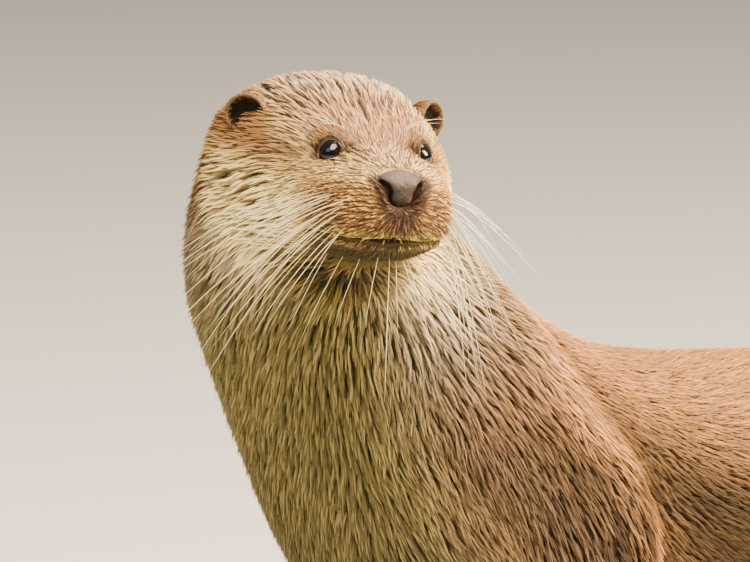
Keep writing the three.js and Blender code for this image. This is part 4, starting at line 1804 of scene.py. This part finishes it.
@dataclass
class Coat:
    """Solid tufts over the skin: each a thin ridged blade of four triangles, pointed at its tip.

    The tips of neighbouring tufts are drawn together into locks.
    """

    hide: Hide
    ears: list[Surface]
    ear_tufts: int = 3000
    pieces: tuple[CoatPiece, ...] = (
        CoatPiece("coat_head", (Part.HEAD,), 43900),
        CoatPiece("coat_neck_left", (Part.NECK,), 38000, side=1),
        CoatPiece("coat_neck_right", (Part.NECK,), 49000, side=-1),
        CoatPiece("coat_shoulder_left", (Part.TRUNK,), 49000, side=1, ahead_of=115.0),
        CoatPiece("coat_shoulder_right", (Part.TRUNK,), 26000, side=-1, ahead_of=115.0),
        CoatPiece("coat_rump_left", (Part.TRUNK,), 30000, side=1, behind=115.0),
        CoatPiece("coat_rump_right", (Part.TRUNK,), 30000, side=-1, behind=115.0),
        CoatPiece("coat_tail", (Part.TAIL,), 29000),
        CoatPiece("coat_forelegs", LEG_PARTS, 34000, ahead_of=120.0),
        CoatPiece("coat_hindlegs", LEG_PARTS, 36000, behind=120.0),
    )
    clump: float = 0.6
    contrast: float = 0.5
    guards: float = 0.12
    stretch: float = 3.4
    seed: int = 5
    # Painted shade and light on a tuft, at its root, left edge, ridge, right edge and tip.
    shade_head: tuple[float, ...] = (0.34, 0.5, 0.8, 0.5, 1.3)
    shade_face: tuple[float, ...] = (0.3, 0.5, 0.8, 0.5, 1.3)
    shade_calm: tuple[float, ...] = (0.66, 0.76, 0.9, 0.76, 1.12)

    def _roots(self, piece: CoatPiece, rng: np.random.Generator) -> tuple[np.ndarray, np.ndarray]:
        """Picks places for a piece's tufts, by the growth's density.

        Args:
            piece: The piece of coat.
            rng: Random numbers.

        Returns:
            The triangle of each root, and its place within the triangle.
        """
        hide, skin = self.hide, self.hide.surface
        tri = skin.triangles
        part = hide.shares.argmax(axis=1)
        mine = np.isin(part, [p.value for p in piece.parts])[tri].sum(axis=1) >= 2
        if piece.side:
            mine &= np.sign(hide.side[tri].sum(axis=1) + 1e-9) == piece.side
        middle = skin.points[tri].mean(axis=1)[:, 0] / MM
        mine &= (middle > piece.ahead_of) & (middle <= piece.behind)
        density = hide.sizes(skin.points, hide.shares)["density"]
        local = HEAD.local(skin.points)
        for eye in EYES:
            bare = (eye.openness(local) < 1.08) & (eye.away(local) < eye.radius + 1.3)
            density = np.where(bare, 0.0, density)
        density = density * (1 - MOUTH.shade(local))
        density = np.where((NOSE.share(local) < 0.84) & (local[:, 0] > 66), 0.0, density)
        weight = skin.areas() * density[tri].mean(axis=1) * mine
        total = np.cumsum(weight)
        spots = (np.arange(piece.tufts) + rng.random(piece.tufts)) / piece.tufts * total[-1]
        chosen = np.minimum(np.searchsorted(total, spots), len(tri) - 1)
        a, b = rng.random((2, piece.tufts))
        flip = a + b > 1
        a, b = np.where(flip, 1 - a, a), np.where(flip, 1 - b, b)
        return chosen, np.stack([1 - a - b, a, b], -1)

    def _ear_tufts(self, ear: Ear, surface: Surface, rng: np.random.Generator) -> Tufts:
        """One ear's short fur, running out to its rim.

        Args:
            ear: The ear.
            surface: Its skin.
            rng: Random numbers.

        Returns:
            The tufts, for the first piece of the coat.
        """
        tri = surface.triangles
        middle = surface.points[tri].mean(axis=1)
        out, height = ear.place_in(middle)
        weight = surface.areas() * (1.0 + 1.6 * ramp(out, 0.75, 1.0)) * ramp(out, 0.15, 0.6)
        total = np.cumsum(weight * (height > -8.0))
        chosen = np.searchsorted(total, rng.random(self.ear_tufts) * total[-1])
        inside = rng.dirichlet((1.0, 1.0, 1.0), self.ear_tufts)
        place = self._at(surface, chosen, inside, surface.points)
        facing = unit(self._at(surface, chosen, inside, surface.normals()))
        out, height = ear.place_in(place)
        look = np.broadcast_to(ear.axes()[2] @ HEAD.axes(), place.shape)
        outward = square_to(place - HEAD.place(ear.centre()), look)
        behind = (facing * outward).sum(axis=1, keepdims=True) > 0
        way = np.where(behind, look + 0.35 * outward, outward + 0.5 * look)
        count = self.ear_tufts
        shares = np.zeros((count, len(Part)))
        shares[:, Part.EAR] = 1.0
        along, piece = np.full(count, 0.02), np.zeros(count, int)
        flow = square_to(way, facing)
        return Tufts(place, shares, facing, flow, along, np.ones(count), piece)

    @staticmethod
    def _at(skin: Surface, chosen: np.ndarray, inside: np.ndarray, values: np.ndarray) -> np.ndarray:
        """Values from the vertices, at the roots.

        Args:
            skin: The mesh.
            chosen: Each root's triangle.
            inside: Its place within the triangle.
            values: One row for each vertex.

        Returns:
            One row for each root.
        """
        corner = values[skin.triangles[chosen]]
        if values.ndim == 1:
            return (corner * inside).sum(axis=1)
        return (corner * inside[:, :, None]).sum(axis=1)

    def build(self, markings: Markings) -> list[bpy.types.Object]:
        """Makes every piece of the coat.

        Args:
            markings: The coat's colours.

        Returns:
            The pieces.
        """
        rng = np.random.default_rng(self.seed)
        tufts = self._plant(rng)
        points = self._shape(tufts, rng)
        colours = self._colour(tufts, markings, rng)
        made = []
        for number, piece in enumerate(self.pieces):
            mine = tufts.piece == number
            around = self._around(tufts.root[mine])
            made.append(
                self._mesh(piece.name, points[mine], colours[mine], tufts.along[mine], around)
            )
        log.info("coat: %d tufts", len(points))
        return made

    def _plant(self, rng: np.random.Generator) -> Tufts:
        """Finds every tuft's root, on the body and then on the ears.

        Args:
            rng: Random numbers.

        Returns:
            The tufts.
        """
        hide, skin = self.hide, self.hide.surface
        picks = [self._roots(piece, rng) for piece in self.pieces]
        chosen, inside = (np.concatenate(column) for column in zip(*picks))
        smooth = unit(skin.spread(skin.normals(), 2))
        fields = (skin.points, hide.shares, smooth, hide.flow, hide.along, hide.upward)
        tufts = Tufts(
            *(self._at(skin, chosen, inside, values) for values in fields),
            np.repeat(np.arange(len(picks)), [piece.tufts for piece in self.pieces]),
        )
        for ear, surface in zip(EARS, self.ears):
            tufts.add(self._ear_tufts(ear, surface, rng))
        return tufts

    def _shape(self, tufts: Tufts, rng: np.random.Generator) -> np.ndarray:
        """Shapes every tuft, drawn towards its lock, and notes its lock, crest and guard hair.

        Args:
            tufts: The tufts.
            rng: Random numbers.

        Returns:
            Five points for each tuft: root, left, ridge, right and tip, in metres.
        """
        root, on_head, count = tufts.root, tufts.shares[:, Part.HEAD], len(tufts.root)
        size = self.hide.sizes(root, tufts.shares)
        length = size["length"] * rng.uniform(0.75, 1.2, count) * MM
        width = size["width"] * rng.uniform(0.7, 1.3, count) * MM
        lock, off_axis = self._locks(root, tufts.flow, size["lock"] * MM)
        ridge_share = np.linalg.norm(off_axis, axis=1) / (0.5 * size["lock"] * MM)
        crest = 1.0 - np.clip(ridge_share, 0, 1.25) ** 2
        guard = (crest > 0.86) & (rng.random(count) < self.guards * (1 + 0.6 * on_head))
        length = length * np.where(guard, 1.12, 1.0)
        width = width * np.where(guard, 1.35, 1.0)
        turn = 0.16 * waves(root, 60, 3) + 0.1 * waves(root, 21, 4)
        lean = turn + rng.normal(0, 0.07, count)[lock] + rng.normal(0, 0.035, count)
        side = unit(np.cross(tufts.normal, tufts.flow))
        way = unit(tufts.flow * np.cos(lean)[:, None] + side * np.sin(lean)[:, None])
        stray = guard * (0.2 + 0.2 * on_head * ramp(HEAD.local(root)[:, 0], 45, 25))
        share = 0.77 + (0.18 + 0.26 * on_head) * (crest - 0.6) + stray
        height = size["depth"] * MM * share * rng.uniform(0.88, 1.06, count)
        gather = off_axis * (self.clump * rng.uniform(0.7, 1.2, (count, 1)))
        tree = join([self.hide.surface, *self.ears]).tree()
        tip, tip_normal = self._settle(tree, root + way * length[:, None] - gather)
        tip = tip + tip_normal * height[:, None]
        middle = root + way * (0.42 * length)[:, None] - gather * 0.4
        middle, mid_normal = self._settle(tree, middle)
        middle = middle + mid_normal * (height * 0.66)[:, None]
        half = unit(np.cross(mid_normal, unit(tip - root))) * (width / 2)[:, None]
        ridge = middle + mid_normal * (width * 0.32)[:, None]
        base = root - tufts.normal * 0.3 * MM
        points = np.stack([base, middle + half, ridge, middle - half, tip], axis=1)
        points[:, :, 2] = np.maximum(points[:, :, 2], 0.1 * MM)
        tufts.lock, tufts.crest, tufts.guard = lock, crest, guard
        return points

    def _colour(self, tufts: Tufts, markings: Markings, rng: np.random.Generator) -> np.ndarray:
        """Colours every tuft: painted shade at its root and a lock's edges, painted light at its tip
        and crest.

        Args:
            tufts: The tufts, once they are shaped.
            markings: The coat's colours.
            rng: Random numbers.

        Returns:
            One linear colour for each of a tuft's five points.
        """
        root, shares, crest, count = tufts.root, tufts.shares, tufts.crest, len(tufts.root)
        on_head, on_neck = shares[:, Part.HEAD], shares[:, Part.NECK]
        local = HEAD.local(root)
        lively = 0.09 + 0.09 * on_head
        tone = 1 + lively * (rng.normal(size=count) + rng.normal(size=count)[tufts.lock])
        tone += 0.05 * waves(root, 30, 9)
        smooth_back = np.maximum(
            ramp(tufts.upward, -0.2, 0.8), ramp(shoulder_edge(root)[0], 10, -20)
        )
        calm = np.maximum(shares[:, Part.TRUNK] * smooth_back, markings.pale(local) * on_neck)
        calm = np.maximum(calm, shares[:, Part.EAR])
        lift = 1 + 1.7 * on_head - 0.7 * calm - 0.2 * on_neck
        # Painted light on a lock's crest and painted shade towards its edges.
        tone += self.contrast * lift * (crest - 0.6)
        over = 1.34 + 0.38 * on_head - 0.1 * calm
        under = 0.78 - 0.28 * on_head + 0.1 * calm
        tone *= np.where(tufts.guard, over, under)
        paint = markings.paint(root, shares, tufts.along, tufts.upward)
        body = count - self.ear_tufts * len(EARS)
        for number, ear in enumerate(EARS):
            own = slice(body + number * self.ear_tufts, body + (number + 1) * self.ear_tufts)
            paint[own] = markings.paint_ear(*ear.place_in(root[own]))
        paint = paint * np.clip(tone, 0.3, 1.7)[:, None]
        paint = mix(paint, markings.fleck, self._speckle(local, rng) * on_head)
        soft = np.clip(0.3 * (1 - on_head) + 0.4 * calm, 0, 0.7)[:, None]
        face = (ramp(local[:, 0], 40, 60) * on_head)[:, None]
        # Painted shade and light along each tuft: a dark root, edges darker than the ridge, a light
        # tip.
        shade = np.array(self.shade_head)
        shade = shade + (np.array(self.shade_calm) - shade) * soft
        shade = shade + (np.array(self.shade_face) - shade) * face
        return paint[:, None, :] * shade[:, :, None]

    def _locks(
        self, root: np.ndarray, flow: np.ndarray, spacing: np.ndarray
    ) -> tuple[np.ndarray, np.ndarray]:
        """Gathers the tufts into long narrow locks that lie along the coat.

        Args:
            root: The tufts' roots.
            flow: The lie of the coat at each.
            spacing: How far apart the locks' middles are, in metres.

        Returns:
            For each tuft the number of the one that leads its lock, and how far its own root
            stands to the side of the lock's middle.
        """
        grain = (spacing * math.sqrt(self.stretch))[:, None]
        cell = np.floor(root / grain + 1000).astype(np.int64)
        key = (cell[:, 0] * 8192 + cell[:, 1]) * 8192 + cell[:, 2]
        leaders = np.unique(key, return_index=True)[1]
        seeds = KDTree(len(leaders))
        for number, place in enumerate(root[leaders].tolist()):
            seeds.insert(place, number)
        seeds.balance()
        near = np.array(
            [[found[1] for found in seeds.find_n(place, 12)] for place in root[leaders].tolist()]
        )
        nearest = np.array([seeds.find(place)[1] for place in root.tolist()])
        options = leaders[near[nearest]]
        gap = root[:, None, :] - root[options]
        ahead = (gap * flow[:, None, :]).sum(axis=-1)
        across = (gap**2).sum(axis=-1) - ahead**2
        pick = np.argmin(across + (ahead / self.stretch) ** 2, axis=1)
        rows = np.arange(len(root))
        off_axis = gap[rows, pick] - ahead[rows, pick][:, None] * flow
        return options[rows, pick], off_axis

    @staticmethod
    def _settle(tree: BVHTree, points: np.ndarray) -> tuple[np.ndarray, np.ndarray]:
        """The nearest places on the skin and its normals there."""
        found = [tree.find_nearest(place)[:2] for place in points.tolist()]
        return np.array([f[0] for f in found]), np.array([f[1] for f in found])

    @staticmethod
    def _speckle(local: np.ndarray, rng: np.random.Generator) -> np.ndarray:
        """Dark flecks on the muzzle, where the fur parts round the whiskers' roots."""
        zone = ramp(local[:, 0], 52, 66) * ramp(local[:, 2], -6, -14) * ramp(local[:, 2], -37, -32)
        return zone * (rng.random(len(local)) < 0.26) * 0.8

    @staticmethod
    def _around(root: np.ndarray) -> np.ndarray:
        """Each root's angle round the body's middle line.

        Args:
            root: The tufts' roots.

        Returns:
            One angle for each, in radians.
        """
        _, way, offset = BODY_LINE.nearest(root)
        dorsal = square_to(UP, way)
        left = np.cross(dorsal, way)
        return np.arctan2((offset * left).sum(axis=1), (offset * dorsal).sum(axis=1))

    @staticmethod
    def _mesh(
        name: str, points: np.ndarray, colours: np.ndarray, along: np.ndarray, around: np.ndarray
    ) -> bpy.types.Object:
        """Makes one piece, with each tuft's patch at its root's place on an unwrap of the skin.

        Args:
            name: The piece's name.
            points: Five points for each tuft: root, left, ridge, right and tip.
            colours: One linear colour for each point.
            along: Each root's share along the body.
            around: Each root's angle round the body.

        Returns:
            The object.
        """
        count = len(points)
        blade = np.array([[0, 1, 2], [0, 2, 3], [1, 4, 2], [2, 4, 3]])
        faces = (np.arange(count)[:, None, None] * 5 + blade).reshape(-1, 3)
        tufts = Surface(points.reshape(-1, 3), faces)
        made = mesh_object(name, tufts, colours.reshape(-1, 3))
        # The unwrap runs along the body one way and round it the other, spaced evenly by rank.
        bands = int(math.sqrt(count))
        rank = np.empty(count)
        rank[np.argsort(along, kind="stable")] = np.arange(count)
        band = np.minimum(rank * bands // count, bands - 1)
        order = np.lexsort((around, band))
        start = np.searchsorted(band[order], np.arange(bands))
        size = np.diff(np.append(start, count))
        column = np.empty(count)
        sorted_band = band[order].astype(int)
        column[order] = (np.arange(count) - start[sorted_band] + 0.5) / size[sorted_band]
        margin, wide = 0.005, 0.003
        centre = np.stack([column, (band + 0.5) / bands], -1) * (1 - 2 * margin) + margin
        patch = np.array([[0, -0.5], [-0.5, 0], [0, 0], [0.5, 0], [0, 0.5]]) * wide
        spots = (centre[:, None, :] + patch).reshape(-1, 2)[faces.ravel()]
        layer = made.data.uv_layers.new(name="OFBake")
        layer.data.foreach_set("uv", spots.astype(np.float32).ravel())
        made.data.materials.append(GUARD_HAIR.material())
        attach(made, "root")
        return made


# ---- The studio --------------------------------------------------------------------------------


@dataclass(frozen=True)
class Lamp:
    """A round soft light that points at the head. Degrees, metres and watts."""

    name: str
    bearing: float
    rise: float
    away: float
    size: float
    watts: float
    tint: str

    def build(self, middle: np.ndarray) -> None:
        """Hangs the light.

        Args:
            middle: The place that it points at.
        """
        way = direction(self.bearing, self.rise)
        data = bpy.data.lights.new(self.name, "AREA")
        data.shape = "DISK"
        data.size = self.size
        data.energy = self.watts
        data.color = linear(self.tint)
        lamp = bpy.data.objects.new(self.name, data)
        lamp.location = middle + way * self.away
        lamp.rotation_mode = "QUATERNION"
        lamp.rotation_quaternion = Vector(-way).to_track_quat("-Z", "Y")
        bpy.context.scene.collection.objects.link(lamp)


@dataclass(frozen=True)
class Studio:
    """Pale floor, soft light and the camera, three-quarter from the front at eye height."""

    bearing: float = 40.0
    rise: float = 8.0
    distance: float = 4.2
    view_wide: float = 0.3125
    eyes_above: float = 0.0535417
    sensor: float = 36.0
    floor_wide: float = 28.0
    surround: str = "#e9e6e0"
    surround_strength: float = 0.28
    lamps: tuple[Lamp, ...] = (
        Lamp("key", 50.0, 64.0, 2.6, 1.7, 205.0, "#ffebd0"),
        Lamp("sky", 0.0, 40.0, 2.6, 1.9, 34.0, "#c4d6e4"),
        Lamp("side", 118.0, 28.0, 2.6, 1.3, 310.0, "#ffe9cc"),
        Lamp("fill", -10.0, 34.0, 2.8, 2.4, 8.0, "#f4f2f0"),
        Lamp("back", 178.0, 60.0, 2.6, 1.6, 110.0, "#ffeed6"),
    )

    def build(self) -> None:
        """Makes the camera, the floor and the lights, all about the middle of the eyes."""
        boxes = [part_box("eye_left"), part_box("eye_right")]
        middle = np.mean([(np.array(low) + np.array(high)) / 2 for low, high in boxes], axis=0)
        self._camera(middle)
        self._floor()
        for lamp in self.lamps:
            lamp.build(middle)
        world = bpy.data.worlds.new("studio")
        world.use_nodes = True
        inputs = world.node_tree.nodes["Background"].inputs
        inputs["Color"].default_value = (*linear(self.surround), 1.0)
        inputs["Strength"].default_value = self.surround_strength
        bpy.context.scene.world = world

    def _camera(self, middle: np.ndarray) -> None:
        """Sets up the camera, with the eyes above the view's middle.

        Args:
            middle: The middle of the eyes.
        """
        look = -direction(self.bearing, self.rise)
        rise = np.cross(unit(np.cross(look, UP)), look)
        data = bpy.data.cameras.new("camera")
        data.sensor_width = self.sensor
        data.lens = self.distance / self.view_wide * self.sensor
        data.clip_start, data.clip_end = 0.1, 60.0
        camera = bpy.data.objects.new("camera", data)
        camera.location = middle - rise * self.eyes_above - look * self.distance
        camera.rotation_mode = "QUATERNION"
        camera.rotation_quaternion = Vector(look).to_track_quat("-Z", "Y")
        bpy.context.scene.collection.objects.link(camera)
        bpy.context.scene.camera = camera

    def _floor(self) -> None:
        """Makes the round pale floor."""
        mesh = bpy.data.meshes.new("floor")
        shape = bmesh.new()
        bmesh.ops.create_circle(shape, cap_ends=True, segments=96, radius=self.floor_wide / 2)
        shape.to_mesh(mesh)
        shape.free()
        floor = bpy.data.objects.new("floor", mesh)
        floor.location = (0, 0, -0.0005)
        bpy.context.scene.collection.objects.link(floor)
        mesh.materials.append(FLOOR.material())


def report(made: bpy.types.Object) -> None:
    """Logs a finished piece and how many faces it has."""
    log.info("%s: %d faces", made.name, len(made.data.polygons))


def main() -> None:
    """Builds the otter and its studio."""
    logging.basicConfig(level=logging.INFO, format="%(message)s")
    markings, hide = Markings(), Hide()
    hide.build()
    ears = [ear.surface() for ear in EARS]
    report(hide.dress(markings))
    report(EarSkins(ears).build(markings))
    for eye in EYES:
        report(Eyeball(eye).build())
    for part in (Lids(), NOSE, Claws()):
        report(part.build())
    report(Whiskers().build(hide.surface))
    for piece in Coat(hide, ears).build(markings):
        report(piece)
    Studio().build()


if __name__ == "__main__":
    main()
